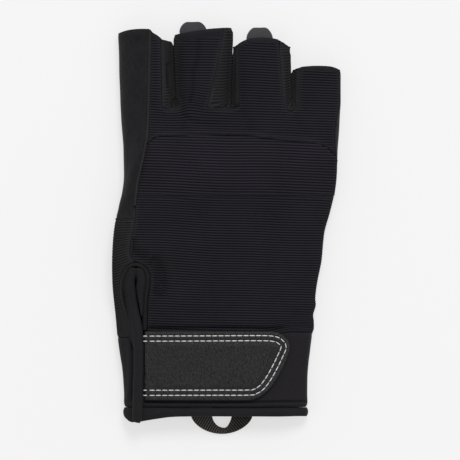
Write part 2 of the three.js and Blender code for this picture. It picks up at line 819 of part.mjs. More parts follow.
// The hand's outer form grown by a clearance, to keep the thumb stall outside it
function grownHand(clearance) {
  const count = 44;
  const sections = handRows.map((down) => {
    const loop = bodyLoop(-down * handLength);
    return Array.from({ length: count }, (_, i) => {
      const { point, normal } = onLoop(loop, (loop.total * i) / count);
      return point.addScaledVector(normal, clearance);
    });
  });
  return toSolid(loft(sections));
}

// Cuff: a band round the wrist that is open at the slit
const slitLeft = -0.915;
const slitRight = -0.885;

const cuffCorner = 5;
const cuffCells = [1, 4, 9, 5, 11];

function cuffRow(y) {
  const loop = bodyLoop(y);
  const from = whereOnLoop(loop, halfWidth * slitLeft, 'top') + half;
  const to = whereOnLoop(loop, halfWidth * slitRight, 'top') + loop.total - half;
  const corners = [leftEdgeOf(loop), farEdge(loop)].flatMap((at) => [at - cuffCorner, at + cuffCorner]);
  return runs(loop, [from, ...corners, to], cuffCells);
}

function cuffBand() {
  const shares = [0, 0.2, 0.42, 0.64, 0.86, 0.93, 1];
  const rows = shares.map((share) => cuffRow(-handLength - share * cuffLength));
  rows[0] = shifted(rows[0], -seamGap / 2);
  rows[rows.length - 1] = shifted(rows[rows.length - 1], seamGap / 2);
  const ridge = shares.indexOf(0.93);
  const rise = (r, c, normal) => (r === ridge ? ridgeRise * smooth(1 + normal.z) : 0);
  return sheet(rows, cuffWall, { rise });
}

// The hem hangs lower at the slit than across the wrist
function hemSag(x) {
  const fromThumbSide = 1 - smooth((x + 0.98 * halfWidth) / (0.45 * halfWidth));
  return hemDrop * fromThumbSide * smooth((x + 1.03 * halfWidth) / (0.08 * halfWidth));
}

function cuffHem() {
  const shares = [0, 0.3, 0.7, 1];
  const rows = shares.map((share) =>
    cuffRow(cuffEnd - share * hemLength).map(({ point, normal }) => {
      const y = point.y - share * hemSag(point.x);
      return { point: new THREE.Vector3(point.x, y, point.z), normal };
    }));
  rows[0] = shifted(rows[0], -seamGap / 2);
  const last = rows.length - 1;
  const rise = (r, c, normal) => (r === 0 || r === last ? 0 : hemRise * smooth(1 + normal.z));
  return sheet(rows, hemWall, { rise });
}

// Height of the top of the glove, for what is sewn on it
const topHeight = (x, y) => bodyTop(x, y, bodyEdges(y));

// A roll of cloth along a path on top of the glove: width and lift at each row of its table
function roll(path, thick) {
  const turns = 8;
  const at = path.map(({ down, x }) => new THREE.Vector2(x * halfWidth, -down * handLength));
  const sections = path.map(({ width, lift }, i) => {
    const ahead = at[Math.min(i + 1, path.length - 1)];
    const run = ahead.clone().sub(at[Math.max(i - 1, 0)]).normalize();
    const across = new THREE.Vector2(run.y, -run.x);
    return Array.from({ length: turns }, (_, k) => {
      const turn = (2 * Math.PI * (k + 0.5)) / turns;
      const flat = at[i].clone().addScaledVector(across, (-Math.cos(turn) * width) / 2);
      const up = ((Math.sin(turn) + 1) * thick) / 2;
      return new THREE.Vector3(flat.x, flat.y, topHeight(flat.x, flat.y) + lift + up);
    });
  });
  return loft(sections);
}

const hemDown = 1 + (cuffLength + hemLength) / handLength;

const rollCentre = -0.88;
const rollWidth = 5;
const inSlit = -1.2;
const onCuff = seamGap + 0.2;
const onHem = onCuff + hemRise;
const leftRollPath = [
  { down: 0.702, x: -0.926, width: 1.6, lift: inSlit },
  { down: 0.714, x: -0.943, width: 2.8, lift: inSlit },
  { down: 0.73, x: -0.955, width: 3.5, lift: inSlit },
  { down: 0.755, x: -0.962, width: 3.9, lift: inSlit },
  { down: 0.8, x: -0.957, width: 4.2, lift: inSlit },
  { down: 0.85, x: -0.937, width: 4.4, lift: inSlit },
  { down: 0.9, x: -0.914, width: 4.6, lift: inSlit },
  { down: 0.955, x: -0.893, width: rollWidth, lift: 0 },
  { down: 1.0, x: rollCentre - 0.003, width: rollWidth, lift: onCuff },
  { down: 1.06, x: rollCentre, width: rollWidth, lift: onCuff },
  { down: 1.16, x: rollCentre, width: rollWidth, lift: onCuff },
  { down: 1.26, x: rollCentre - 0.006, width: rollWidth, lift: onHem },
  { down: hemDown, x: rollCentre - 0.012, width: rollWidth, lift: onHem },
  { down: hemDown + 0.026, x: rollCentre - 0.02, width: 4.2, lift: onHem },
];

// The right roll lies against the welt and runs out above the strap. set: how far it stands off
const rightRollWidths = [
  { down: 0.702, width: 1.5, set: 1.2 },
  { down: 0.714, width: 2.4, set: 0.5 },
  { down: 0.73, width: 3.3, set: 0.1 },
  { down: 0.755, width: 3.8, set: 0 },
  { down: 0.79, width: 3.4, set: 0 },
  { down: 0.83, width: 2.4, set: 0 },
  { down: 0.87, width: 1.4, set: 0 },
  { down: 0.91, width: 0.9, set: 0 },
];
const rightRollPath = rightRollWidths.map(({ down, width, set }) => {
  const edge = halfWidth * read(backEdges, down, 'left');
  const centre = edge - weltClearance - weltWidth - seamGap - set - width / 2;
  return { down, width, x: centre / halfWidth, lift: inSlit };
});

// Raised welt round the head of the slit, just inside the edges of the gusset and the back
function slitWelt() {
  const inset = weltWidth / 2 + weltClearance;
  const rows = handRows.filter((down) => down > slitHead);
  const foot = 1 - (strapOverlap + 2 * seamGap) / handLength;
  const edgeAt = (table, column, down) =>
    new THREE.Vector2(halfWidth * read(table, down, column), -down * handLength);
  const leftSide = [...rows].reverse().map((down) => edgeAt(gussetEdge, 'x', Math.min(down, foot)));
  const rightSide = rows.map((down) => edgeAt(backEdges, 'left', Math.min(down, foot)));
  const edge = [...leftSide, edgeAt(gussetEdge, 'x', slitHead), ...rightSide];
  const profile = [[-0.5, 0], [0.5, 0], [0.5, 0.7], [0.2, 1], [-0.2, 1], [-0.5, 0.7]];
  const sections = edge.map((at, i) => {
    const ahead = edge[Math.min(i + 1, edge.length - 1)];
    const run = ahead.clone().sub(edge[Math.max(i - 1, 0)]).normalize();
    const across = new THREE.Vector2(run.y, -run.x);
    return profile.map(([side, up]) => {
      const flat = at.clone().addScaledVector(across, inset - side * weltWidth);
      return new THREE.Vector3(flat.x, flat.y, topHeight(flat.x, flat.y) - weltSink + up * weltHeight);
    });
  });
  return loft(sections);
}

// Wrist strap on top of the cuff. end: how far the strap reaches at that share of its width,
// from its lower edge, as a share of its length
const strapOutline = [
  { down: 0.0, end: 0.715 },
  { down: 0.012, end: 0.755 },
  { down: 0.05, end: 0.797 },
  { down: 0.11, end: 0.833 },
  { down: 0.2, end: 0.874 },
  { down: 0.32, end: 0.912 },
  { down: 0.46, end: 0.948 },
  { down: 0.6, end: 0.976 },
  { down: 0.72, end: 0.995 },
  { down: 0.8, end: 1.0 },
  { down: 0.88, end: 0.985 },
  { down: 0.945, end: 0.955 },
  { down: 0.985, end: 0.915 },
  { down: 1.0, end: 0.865 },
];
const strapStart = rollCentre * halfWidth + rollWidth / 2 + seamGap;
const strapTop = -handLength + strapOverlap;

function wristStrap() {
  const cells = 10;
  const rows = strapOutline.map(({ down, end }) => {
    const y = strapTop - strapWidth * (1 - down);
    return Array.from({ length: cells + 1 }, (_, c) => {
      const x = strapStart + strapLength * end * (c / cells);
      const z = topHeight(x, clamp(y, cuffEnd, strapTop)) + 2 * seamGap + strapThick;
      return { point: new THREE.Vector3(x, y, z), normal: new THREE.Vector3(0, 0, 1) };
    });
  });
  return sheet(rows, strapThick);
}

// Hanging loop of webbing: both ends sewn inside the palm side of the hem, the bight below it
const loopCentre = -0.1 * halfWidth;

function hangLoop() {
  const steps = 24;
  const tuckTurn = 0.5;
  const rows = Array.from({ length: steps + 1 }, (_, i) => {
    const turn = mix(-tuckTurn, Math.PI + tuckTurn, i / steps);
    const spread = clamp(turn, 0, Math.PI);
    const tuck = (loopTuck * Math.max(-turn, turn - Math.PI, 0)) / tuckTurn;
    return [0, 0.5, 1].map((outer) => {
      const x = loopCentre - (mix(loopHoleSpan, loopSpan, outer) / 2) * Math.cos(spread);
      const drop = mix(loopHoleDepth, loopDrop, outer) * Math.sin(spread) ** 1.3 - tuck;
      const z = webbingThick + seamGap + hemWall * smooth(1 - drop / loopDrop);
      return { point: new THREE.Vector3(x, hemEnd - drop, z), normal: new THREE.Vector3(0, 0, 1) };
    });
  });
  return sheet(rows, webbingThick);
}

// Pull tab: a round-ended tongue out of a finger's open end, sewn to its palm side
const middleTab = { x: -0.37, width: middleTabWidth, reach: middleTabReach };
const ringTab = { x: 0.255, width: ringTabWidth, reach: ringTabReach };

function pullTab(finger, { x, width, reach }) {
  const steps = 6;
  const end = finger.length + finger.reach;
  const rows = Array.from({ length: steps + 1 }, (_, i) => {
    const along = i / steps;
    const y = mix(end - tabTuck, end + reach, along);
    const round = along > 0.5 ? Math.sqrt(1 - ((along - 0.5) / 0.58) ** 2) : mix(tuckedShare, 1, 2 * along);
    return [-1, -0.5, 0, 0.5, 1].map((side) => {
      const z = suedeWall + seamGap + tabThick + tabLift * smooth(2 * along);
      const point = new THREE.Vector3(x * halfWidth + (side * round * width) / 2, y, z);
      return { point, normal: new THREE.Vector3(0, 0, 1) };
    });
  });
  return sheet(rows, tabThick);
}

// Piping along the seam between the suede and the knit, from the index finger to above the notch
function sidePiping() {
  const onFinger = [0.97, 0.75, 0.5, 0.25].map((share) => {
    const loop = fingerLoop(fingers[0], share);
    const at = whereOnLoop(loop, fingerEdges(fingers[0], share).seamLeft, 'top');
    return placedOnFinger(fingers[0], share, onLoop(loop, at));
  });
  const onHand = handRows.filter((down) => down <= pipingEndRow).map((down) => {
    const { loop, left } = backMarks(backY(down, 0));
    return onLoop(loop, left);
  });
  const profile = [[-0.5, 0], [0.5, 0], [0.35, 0.8], [0, 1], [-0.35, 0.8]];
  const sections = [...onFinger, ...onHand].map(({ point, normal }) => {
    const across = new THREE.Vector3(normal.z, 0, -normal.x);
    return profile.map(([side, up]) =>
      point.clone()
        .addScaledVector(across, side * pipingWidth)
        .addScaledVector(normal, pipingLift + up * pipingHeight));
  });
  return loft(sections);
}

// Cloths and colours
const cloths = {
  knit: { color: 0x232126, roughness: 0.85 },
  padKnit: { color: 0x262429, roughness: 0.85 },
  sideKnit: { color: 0x272727, roughness: 0.9 },
  suede: { color: 0x272728, roughness: 0.95 },
  cuff: { color: 0x252326, roughness: 0.8 },
  trim: { color: 0x222223, roughness: 0.85 },
  leather: { color: 0x303032, roughness: 0.5 },
  webbing: { color: 0x2a2825, roughness: 0.7 },
  tab: { color: 0x4a484a, roughness: 0.6 },
};

const glove = new THREE.Group();

function add(name, geometry, cloth) {
  const mesh = new THREE.Mesh(geometry, new THREE.MeshStandardMaterial({ metalness: 0, ...cloths[cloth] }));
  mesh.name = name;
  glove.add(mesh);
}

const handForm = grownHand(seamGap + 0.2);

add('back_upper', backUpper(), 'knit');
add('knuckle_pad', knucklePad(), 'padKnit');
add('back_lower', backLower(), 'knit');
add('palm_panel', fromSolid(toSolid(palmSheet(suedeWall)).subtract(thumbHollow())), 'suede');
add('thumb_gusset', thumbGusset(), 'sideKnit');
add('thumb_back', thumbHalf(Math.PI, handForm), 'sideKnit');
add('thumb_palm', thumbHalf(0, handForm), 'suede');
for (let i = 0; i < fingers.length - 1; i++) {
  add(`fourchette_${fingers[i].name}_${fingers[i + 1].name}`, fourchette(i), 'sideKnit');
}
add('side_piping', sidePiping(), 'trim');
add('cuff_band', cuffBand(), 'cuff');
add('cuff_hem', cuffHem(), 'trim');
add('slit_welt', slitWelt(), 'trim');
add('slit_roll_left', roll(leftRollPath, rollThick), 'trim');
add('slit_roll_right', roll(rightRollPath, rollThick), 'trim');
add('wrist_strap', wristStrap(), 'leather');
add('hang_loop', hangLoop(), 'webbing');
add('pull_tab_middle', pullTab(fingers[1], middleTab), 'tab');
add('pull_tab_ring', pullTab(fingers[2], ringTab), 'tab');

// The origin is below the middle of the glove, on the surface it lies on
const box = new THREE.Box3().setFromObject(glove);
const centre = box.getCenter(new THREE.Vector3());
glove.position.set(-centre.x, -centre.y, -box.min.z);
glove.updateMatrixWorld(true);

export default glove;
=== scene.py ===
import math
import bpy
import numpy as np
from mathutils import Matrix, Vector, noise
from mathutils.bvhtree import BVHTree
from mathutils.kdtree import KDTree


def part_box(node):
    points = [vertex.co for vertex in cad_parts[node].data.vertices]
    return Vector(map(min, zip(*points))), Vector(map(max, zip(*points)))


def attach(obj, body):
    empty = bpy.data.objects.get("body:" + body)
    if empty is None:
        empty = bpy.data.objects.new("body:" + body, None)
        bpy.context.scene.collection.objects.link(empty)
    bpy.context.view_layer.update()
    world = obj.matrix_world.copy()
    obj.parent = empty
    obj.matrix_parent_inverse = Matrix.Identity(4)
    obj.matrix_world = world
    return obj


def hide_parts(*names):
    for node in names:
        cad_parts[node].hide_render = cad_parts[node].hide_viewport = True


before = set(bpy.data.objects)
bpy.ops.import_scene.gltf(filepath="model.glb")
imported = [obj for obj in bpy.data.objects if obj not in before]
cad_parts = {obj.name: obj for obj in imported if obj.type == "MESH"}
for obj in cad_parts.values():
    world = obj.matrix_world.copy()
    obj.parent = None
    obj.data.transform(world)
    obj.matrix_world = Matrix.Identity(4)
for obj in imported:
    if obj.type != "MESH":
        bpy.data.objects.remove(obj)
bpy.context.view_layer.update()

scene = bpy.context.scene

# The picture is 460 pixels square and looks straight down
picture = {
    "pixels": 460,
    "width": 0.207,          # what the picture takes in, at the height of the glove's edges
    "aim": (0.00134, -0.0009),
    "distance": 3.0,
    "edgeHeight": 0.006,
}


def fromPicture(px, py):
    metresPerPixel = picture["width"] / picture["pixels"]
    middle = picture["pixels"] / 2
    return (
        picture["aim"][0] + (px - middle) * metresPerPixel,
        picture["aim"][1] - (py - middle) * metresPerPixel,
    )


# Everyday steps with one object
def pickOnly(obj):
    if bpy.context.mode != "OBJECT":
        bpy.ops.object.mode_set(mode="OBJECT")
    bpy.ops.object.select_all(action="DESELECT")
    obj.select_set(True)
    bpy.context.view_layer.objects.active = obj


def openMesh(obj, kind):
    pickOnly(obj)
    bpy.ops.object.mode_set(mode="EDIT")
    bpy.ops.mesh.select_mode(type=kind)


def closeMesh():
    bpy.ops.object.mode_set(mode="OBJECT")


def applyModifier(obj, kind, **settings):
    pickOnly(obj)
    bpy.ops.object.modifier_add(type=kind)
    modifier = obj.modifiers[-1]
    for name, value in settings.items():
        setattr(modifier, name, value)
    bpy.ops.object.modifier_apply(modifier=modifier.name)


def pointsOf(obj):
    co = np.empty(len(obj.data.vertices) * 3)
    obj.data.vertices.foreach_get("co", co)
    return co.reshape(-1, 3)


def normalsOf(obj):
    no = np.empty(len(obj.data.vertices) * 3)
    obj.data.vertices.foreach_get("normal", no)
    return no.reshape(-1, 3)


def putPoints(obj, co):
    obj.data.vertices.foreach_set("co", co.ravel())
    obj.data.update()


def weightsOf(obj, name):
    group = obj.vertex_groups[name].index
    weights = np.zeros(len(obj.data.vertices))
    for vertex in obj.data.vertices:
        for member in vertex.groups:
            if member.group == group:
                weights[vertex.index] = member.weight
    return weights


def finishPiece(obj, node, material):
    obj.data.materials.clear()
    obj.data.materials.append(material)
    pickOnly(obj)
    bpy.ops.object.shade_smooth()
    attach(obj, "root")
    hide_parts(node)
    print("made", obj.name, len(obj.data.polygons), "faces")


# Camera, floor and light
def addCamera():
    height = picture["edgeHeight"] + picture["distance"]
    bpy.ops.object.camera_add(location=(*picture["aim"], height), rotation=(0, 0, 0))
    camera = bpy.context.active_object
    camera.data.sensor_width = 36
    camera.data.lens = 36 * picture["distance"] / picture["width"]
    scene.camera = camera


studio = {
    "worldStrength": 0.6,
    "floorSize": 3.0,
    "floorColour": (0.3, 0.3, 0.3, 1),
    "floorGlow": 0.62,       # the floor is a light table
    "keyPower": 52,
    "keySize": 1.2,
    "keyPlace": (0.4, 1.8, 2.7),
}


def addStudio():
    scene.view_settings.view_transform = "Standard"
    world = bpy.data.worlds.new("studio")
    world.use_nodes = True
    world.node_tree.nodes["Background"].inputs["Color"].default_value = (1, 1, 1, 1)
    world.node_tree.nodes["Background"].inputs["Strength"].default_value = studio["worldStrength"]
    scene.world = world

    bpy.ops.mesh.primitive_plane_add(size=studio["floorSize"])
    floor = bpy.context.active_object
    floor.name = "floor"
    paper = bpy.data.materials.new("paper")
    paper.use_nodes = True
    shader = paper.node_tree.nodes["Principled BSDF"]
    shader.inputs["Base Color"].default_value = studio["floorColour"]
    shader.inputs["Roughness"].default_value = 0.9
    shader.inputs["Specular IOR Level"].default_value = 0.0
    shader.inputs["Emission Color"].default_value = (1, 1, 1, 1)
    shader.inputs["Emission Strength"].default_value = studio["floorGlow"]
    floor.data.materials.append(paper)

    bpy.ops.object.light_add(type="AREA", location=studio["keyPlace"])
    key = bpy.context.active_object
    key.data.size = studio["keySize"]
    key.data.energy = studio["keyPower"]
    key.rotation_euler = (-Vector(studio["keyPlace"])).to_track_quat("-Z", "Y").to_euler()


addCamera()
addStudio()
print("camera, floor and light are set")


def lengthsAlong(path):
    return np.concatenate([[0], np.cumsum(np.linalg.norm(np.diff(path, axis=0), axis=1))])


# A smooth curve through a few points, its own points a step apart
def smoothPath(points, step):
    samples = 20
    points = [np.array(point, float) for point in points]
    reached = [2 * points[0] - points[1]] + points + [2 * points[-1] - points[-2]]
    dense = []
    for before, start, end, after in zip(reached, reached[1:], reached[2:], reached[3:]):
        for t in np.linspace(0, 1, samples, endpoint=False):
            bend = (2 * before - 5 * start + 4 * end - after) * t * t
            turn = (3 * start - before - 3 * end + after) * t ** 3
            dense.append(0.5 * (2 * start + (end - before) * t + bend + turn))
    dense.append(points[-1])
    dense = np.array(dense)
    lengths = lengthsAlong(dense)
    places = np.linspace(0, lengths[-1], max(2, round(lengths[-1] / step) + 1))
    return np.stack([np.interp(places, lengths, dense[:, axis]) for axis in range(dense.shape[1])], axis=1)


def picturePath(points, step=0.002):
    return smoothPath([fromPicture(*point) for point in points], step)


# How far each point lies from a path seen from above, and at which share of the path
def awayFromPath(co, path):
    away = np.full(len(co), 1.0)
    share = np.zeros(len(co))
    for i, (start, end) in enumerate(zip(path, path[1:])):
        run = end - start
        t = np.clip(((co[:, :2] - start) @ run) / (run @ run), 0, 1)
        distance = np.linalg.norm(co[:, :2] - (start + t[:, None] * run), axis=1)
        closer = distance < away
        away = np.where(closer, distance, away)
        share = np.where(closer, (i + t) / (len(path) - 1), share)
    return away, share


def eased(t):
    t = np.clip(t, 0, 1)
    return t * t * (3 - 2 * t)


# Folds and dents: rise in metres along a path in the picture, fading out over its width and at its ends
def foldRise(co, folds):
    rise = np.zeros(len(co))
    for fold in folds:
        away, share = awayFromPath(co, picturePath(fold["path"]))
        fade = fold.get("fade", 0.15)
        ends = eased(np.minimum(share, 1 - share) / fade) if fade else 1.0
        rise += fold["rise"] * np.exp(-((away / fold["width"]) ** 2)) * ends
    return rise


# Shader building blocks
def newGroup(name, inputs, outputs):
    group = bpy.data.node_groups.new(name, "ShaderNodeTree")
    for label, kind, value in inputs:
        socket = group.interface.new_socket(name=label, in_out="INPUT", socket_type=kind)
        if value is not None:
            socket.default_value = value
    for label, kind in outputs:
        group.interface.new_socket(name=label, in_out="OUTPUT", socket_type=kind)
    group.nodes.new("NodeGroupInput").name = "given"
    group.nodes.new("NodeGroupOutput").name = "result"
    return group


def mathNode(tree, operation, first, second=None):
    step = tree.nodes.new("ShaderNodeMath")
    step.operation = operation
    for socket, value in zip(step.inputs, (first, second)):
        if value is None:
            continue
        if isinstance(value, (int, float)):
            socket.default_value = value
        else:
            tree.links.new(value, socket)
    return step.outputs[0]


def noiseNode(tree, vector, scale, detail=3, roughness=0.55, stretch=None):
    if stretch:
        mapping = tree.nodes.new("ShaderNodeMapping")
        mapping.inputs["Scale"].default_value = stretch
        tree.links.new(vector, mapping.inputs["Vector"])
        vector = mapping.outputs[0]
    cloud = tree.nodes.new("ShaderNodeTexNoise")
    cloud.inputs["Scale"].default_value = scale
    cloud.inputs["Detail"].default_value = detail
    cloud.inputs["Roughness"].default_value = roughness
    tree.links.new(vector, cloud.inputs["Vector"])
    return cloud.outputs["Fac"]


# Ribs of a knit: y counts ribs, x counts stitches along a rib
def buildKnitRibs():
    group = newGroup(
        "knitRibs",
        [
            ("Cloth", "NodeSocketVector", None),
            ("Stitch Depth", "NodeSocketFloat", 0.35),
            ("Rib Share", "NodeSocketFloat", 1.0),
        ],
        [("Crest", "NodeSocketFloat"), ("Height", "NodeSocketFloat")],
    )
    given = group.nodes["given"]
    split = group.nodes.new("ShaderNodeSeparateXYZ")
    group.links.new(given.outputs["Cloth"], split.inputs[0])
    turn = mathNode(group, "COSINE", mathNode(group, "MULTIPLY", split.outputs["Y"], 2 * math.pi))
    swing = mathNode(group, "MULTIPLY", mathNode(group, "MULTIPLY", turn, -0.5), given.outputs["Rib Share"])
    crest = mathNode(group, "ADD", 0.5, swing)
    leaning = mathNode(group, "ADD", split.outputs["X"], mathNode(group, "MULTIPLY", crest, -0.35))
    wave = mathNode(group, "SINE", mathNode(group, "MULTIPLY", leaning, 2 * math.pi))
    stitch = mathNode(group, "MULTIPLY", wave, given.outputs["Stitch Depth"])
    loops = mathNode(group, "ADD", crest, mathNode(group, "MULTIPLY", stitch, crest))
    result = group.nodes["result"]
    group.links.new(crest, result.inputs["Crest"])
    group.links.new(loops, result.inputs["Height"])
    return group


# Slow change of shade over a cloth, with a little lint
def buildMottle():
    group = newGroup(
        "mottle",
        [
            ("Place", "NodeSocketVector", None),
            ("Patch Scale", "NodeSocketFloat", 60.0),
            ("Lint Scale", "NodeSocketFloat", 1500.0),
            ("Patches", "NodeSocketFloat", 0.25),
            ("Lint", "NodeSocketFloat", 0.2),
        ],
        [("Shade", "NodeSocketFloat"), ("Fibres", "NodeSocketFloat")],
    )
    given = group.nodes["given"]
    patches = group.nodes.new("ShaderNodeTexNoise")
    patches.inputs["Detail"].default_value = 3
    group.links.new(given.outputs["Place"], patches.inputs["Vector"])
    group.links.new(given.outputs["Patch Scale"], patches.inputs["Scale"])
    lint = group.nodes.new("ShaderNodeTexNoise")
    lint.inputs["Detail"].default_value = 4
    lint.inputs["Roughness"].default_value = 0.7
    group.links.new(given.outputs["Place"], lint.inputs["Vector"])
    group.links.new(given.outputs["Lint Scale"], lint.inputs["Scale"])
    slow = mathNode(group, "MULTIPLY", mathNode(group, "SUBTRACT", patches.outputs["Fac"], 0.5),
                    given.outputs["Patches"])
    fast = mathNode(group, "MULTIPLY", mathNode(group, "SUBTRACT", lint.outputs["Fac"], 0.5),
                    given.outputs["Lint"])
    shade = mathNode(group, "ADD", 1.0, mathNode(group, "MULTIPLY", mathNode(group, "ADD", slow, fast), 2.0))
    result = group.nodes["result"]
    group.links.new(shade, result.inputs["Shade"])
    group.links.new(lint.outputs["Fac"], result.inputs["Fibres"])
    return group


knitRibs = buildKnitRibs()
mottle = buildMottle()


def placeGroup(tree, group, vector, socket, **values):
    block = tree.nodes.new("ShaderNodeGroup")
    block.node_tree = group
    tree.links.new(vector, block.inputs[socket])
    for label, value in values.items():
        block.inputs[label].default_value = value
    return block


def startMaterial(name, roughness, specular, sheen=0.0):
    material = bpy.data.materials.new(name)
    material.use_nodes = True
    tree = material.node_tree
    shader = tree.nodes["Principled BSDF"]
    shader.inputs["Roughness"].default_value = roughness
    shader.inputs["Specular IOR Level"].default_value = specular
    shader.inputs["Sheen Weight"].default_value = sheen
    shader.inputs["Sheen Roughness"].default_value = 0.5
    place = tree.nodes.new("ShaderNodeTexCoord").outputs["Object"]
    return material, tree, shader, place


def attributeNode(tree, name):
    attribute = tree.nodes.new("ShaderNodeAttribute")
    attribute.attribute_name = name
    return attribute.outputs["Fac"]


def colourBetween(tree, low, high, mask, shade):
    blend = tree.nodes.new("ShaderNodeMix")
    blend.data_type = "RGBA"
    blend.inputs["A"].default_value = (*low, 1)
    blend.inputs["B"].default_value = (*high, 1)
    tree.links.new(mask, blend.inputs["Factor"])
    scaled = tree.nodes.new("ShaderNodeVectorMath")
    scaled.operation = "SCALE"
    tree.links.new(blend.outputs["Result"], scaled.inputs[0])
    tree.links.new(shade, scaled.inputs["Scale"])
    return scaled.outputs["Vector"]


# Edges rub lighter in patches; where the attribute is negative, folds and dents get painted shade in patches
def wearAndPaintedShade(tree, shade, place, amount):
    patchyWearAndShade = mathNode(tree, "MULTIPLY", attributeNode(tree, "wearAndFoldShade"), noiseNode(tree, place, 700))
    return mathNode(tree, "MULTIPLY", shade, mathNode(tree, "ADD", 1.0, mathNode(tree, "MULTIPLY", patchyWearAndShade, amount)))


def bumpFrom(tree, shader, height, distance):
    bump = tree.nodes.new("ShaderNodeBump")
    bump.inputs["Distance"].default_value = distance
    tree.links.new(height, bump.inputs["Height"])
    tree.links.new(bump.outputs["Normal"], shader.inputs["Normal"])


def knitMaterial(name, paintedShadeValley, crest, stitchDepth=0.35):
    material, tree, shader, place = startMaterial(name, 0.85, 0.05)
    cloth = tree.nodes.new("ShaderNodeUVMap")
    cloth.uv_map = "cloth"
    ribs = placeGroup(tree, knitRibs, cloth.outputs["UV"], "Cloth", **{"Stitch Depth": stitchDepth})
    tree.links.new(attributeNode(tree, "ribShare"), ribs.inputs["Rib Share"])
    spots = placeGroup(tree, mottle, place, "Place", Patches=0.2)
    shade = wearAndPaintedShade(tree, spots.outputs["Shade"], place, 0.5)
    # painted shade: the hollows between ribs take the darker colour, the crests the lighter
    colour = colourBetween(tree, paintedShadeValley, crest, ribs.outputs["Crest"], shade)
    tree.links.new(colour, shader.inputs["Base Color"])
    height = mathNode(tree, "ADD", ribs.outputs["Height"],
                      mathNode(tree, "MULTIPLY", spots.outputs["Fibres"], 0.5))
    bumpFrom(tree, shader, height, 0.0001)
    return material


# the first colour of each knit is painted shade for the rib hollows, the second is the crests' colour
knitCloth = knitMaterial("back_knit", (0.0045, 0.0043, 0.0055), (0.0242, 0.0227, 0.0286))
padCloth = knitMaterial("pad_knit", (0.0056, 0.0051, 0.0067), (0.0264, 0.0241, 0.0312))
sideCloth = knitMaterial("side_knit", (0.0095, 0.0095, 0.0102), (0.0245, 0.0245, 0.0262))
webbingCloth = knitMaterial("webbing_cloth", (0.0005, 0.0005, 0.0005), (0.1, 0.096, 0.088), 0.1)


def suedeMaterial():
    material, tree, shader, place = startMaterial("suede", 0.95, 0.05, 0.1)
    nap = noiseNode(tree, place, 900, 4, 0.65, stretch=(1.0, 0.35, 1.0))
    spots = placeGroup(tree, mottle, place, "Place", Patches=0.35, **{"Patch Scale": 90.0})
    shade = wearAndPaintedShade(tree, spots.outputs["Shade"], place, 0.6)
    colour = colourBetween(tree, (0.0078, 0.0077, 0.0085), (0.0215, 0.0212, 0.0232), nap, shade)
    tree.links.new(colour, shader.inputs["Base Color"])
    bumpFrom(tree, shader, nap, 0.00015)
    return material


def smoothClothMaterial(name, low, high, grain=1400):
    material, tree, shader, place = startMaterial(name, 0.75, 0.1, 0.03)
    weave = noiseNode(tree, place, grain, 2, 0.5)
    spots = placeGroup(tree, mottle, place, "Place", Patches=0.2)
    shade = wearAndPaintedShade(tree, spots.outputs["Shade"], place, 0.4)
    colour = colourBetween(tree, low, high, weave, shade)
    tree.links.new(colour, shader.inputs["Base Color"])
    bumpFrom(tree, shader, weave, 0.00008)
    return material


suede = suedeMaterial()
cuffCloth = smoothClothMaterial("cuff_cloth", (0.0095, 0.0085, 0.0098), (0.0185, 0.0165, 0.019))
trimCloth = smoothClothMaterial("trim_cloth", (0.0085, 0.0084, 0.0094), (0.0168, 0.0166, 0.0184))
pipingCloth = smoothClothMaterial("piping_cloth", (0.014, 0.014, 0.015), (0.026, 0.026, 0.027))
tabCloth = smoothClothMaterial("tab_cloth", (0.048, 0.046, 0.05), (0.08, 0.077, 0.083), 1800)
whiteThread = smoothClothMaterial("white_thread", (0.5, 0.5, 0.52), (0.8, 0.8, 0.82), 2500)


def leatherMaterial():
    material, tree, shader, place = startMaterial("strap_leather", 0.5, 0.25)
    bend = tree.nodes.new("ShaderNodeTexNoise")
    bend.inputs["Scale"].default_value = 350
    tree.links.new(place, bend.inputs["Vector"])
    offset = tree.nodes.new("ShaderNodeVectorMath")
    offset.operation = "MULTIPLY_ADD"
    offset.inputs[1].default_value = (0.0012, 0.0012, 0.0)
    tree.links.new(bend.outputs["Color"], offset.inputs[0])
    tree.links.new(place, offset.inputs[2])
    mapping = tree.nodes.new("ShaderNodeMapping")
    mapping.inputs["Scale"].default_value = (1.0, 0.4, 1.0)
    tree.links.new(offset.outputs[0], mapping.inputs["Vector"])
    pebbles = tree.nodes.new("ShaderNodeTexVoronoi")
    pebbles.feature = "SMOOTH_F1"
    pebbles.inputs["Scale"].default_value = 2300
    pebbles.inputs["Smoothness"].default_value = 0.35
    tree.links.new(mapping.outputs[0], pebbles.inputs["Vector"])
    dome = mathNode(tree, "SUBTRACT", 1.0, pebbles.outputs["Distance"])
    spots = placeGroup(tree, mottle, place, "Place", Patches=0.15)
    shade = wearAndPaintedShade(tree, spots.outputs["Shade"], place, 1.0)
    colour = colourBetween(tree, (0.001, 0.001, 0.001), (0.0275, 0.0275, 0.0295), dome, shade)
    tree.links.new(colour, shader.inputs["Base Color"])
    bumpFrom(tree, shader, dome, 0.0003)
    return material


strapLeather = leatherMaterial()
print("materials are built")


sharpTurn = math.radians(62)


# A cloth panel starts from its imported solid: merged, paired into quads, edges rounded, then smoothed
def softCopy(nodeName, pieceName, seed, edgeRound=0.00025, levels=2, facing=None):
    piece = bpy.data.objects.new(pieceName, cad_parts[nodeName].data.copy())
    scene.collection.objects.link(piece)
    openMesh(piece, "FACE")
    bpy.ops.mesh.select_all(action="SELECT")
    bpy.ops.mesh.customdata_custom_splitnormals_clear()
    bpy.ops.mesh.remove_doubles(threshold=0.00001)
    bpy.ops.mesh.tris_convert_to_quads(face_threshold=math.radians(50), shape_threshold=math.radians(60))
    bpy.ops.mesh.select_all(action="DESELECT")
    closeMesh()
    markOutside(piece, seed, facing)
    if edgeRound:
        applyModifier(piece, "BEVEL", limit_method="ANGLE", angle_limit=sharpTurn, width=edgeRound, segments=2)
    applyModifier(piece, "SUBSURF", levels=levels, render_levels=levels)
    return piece


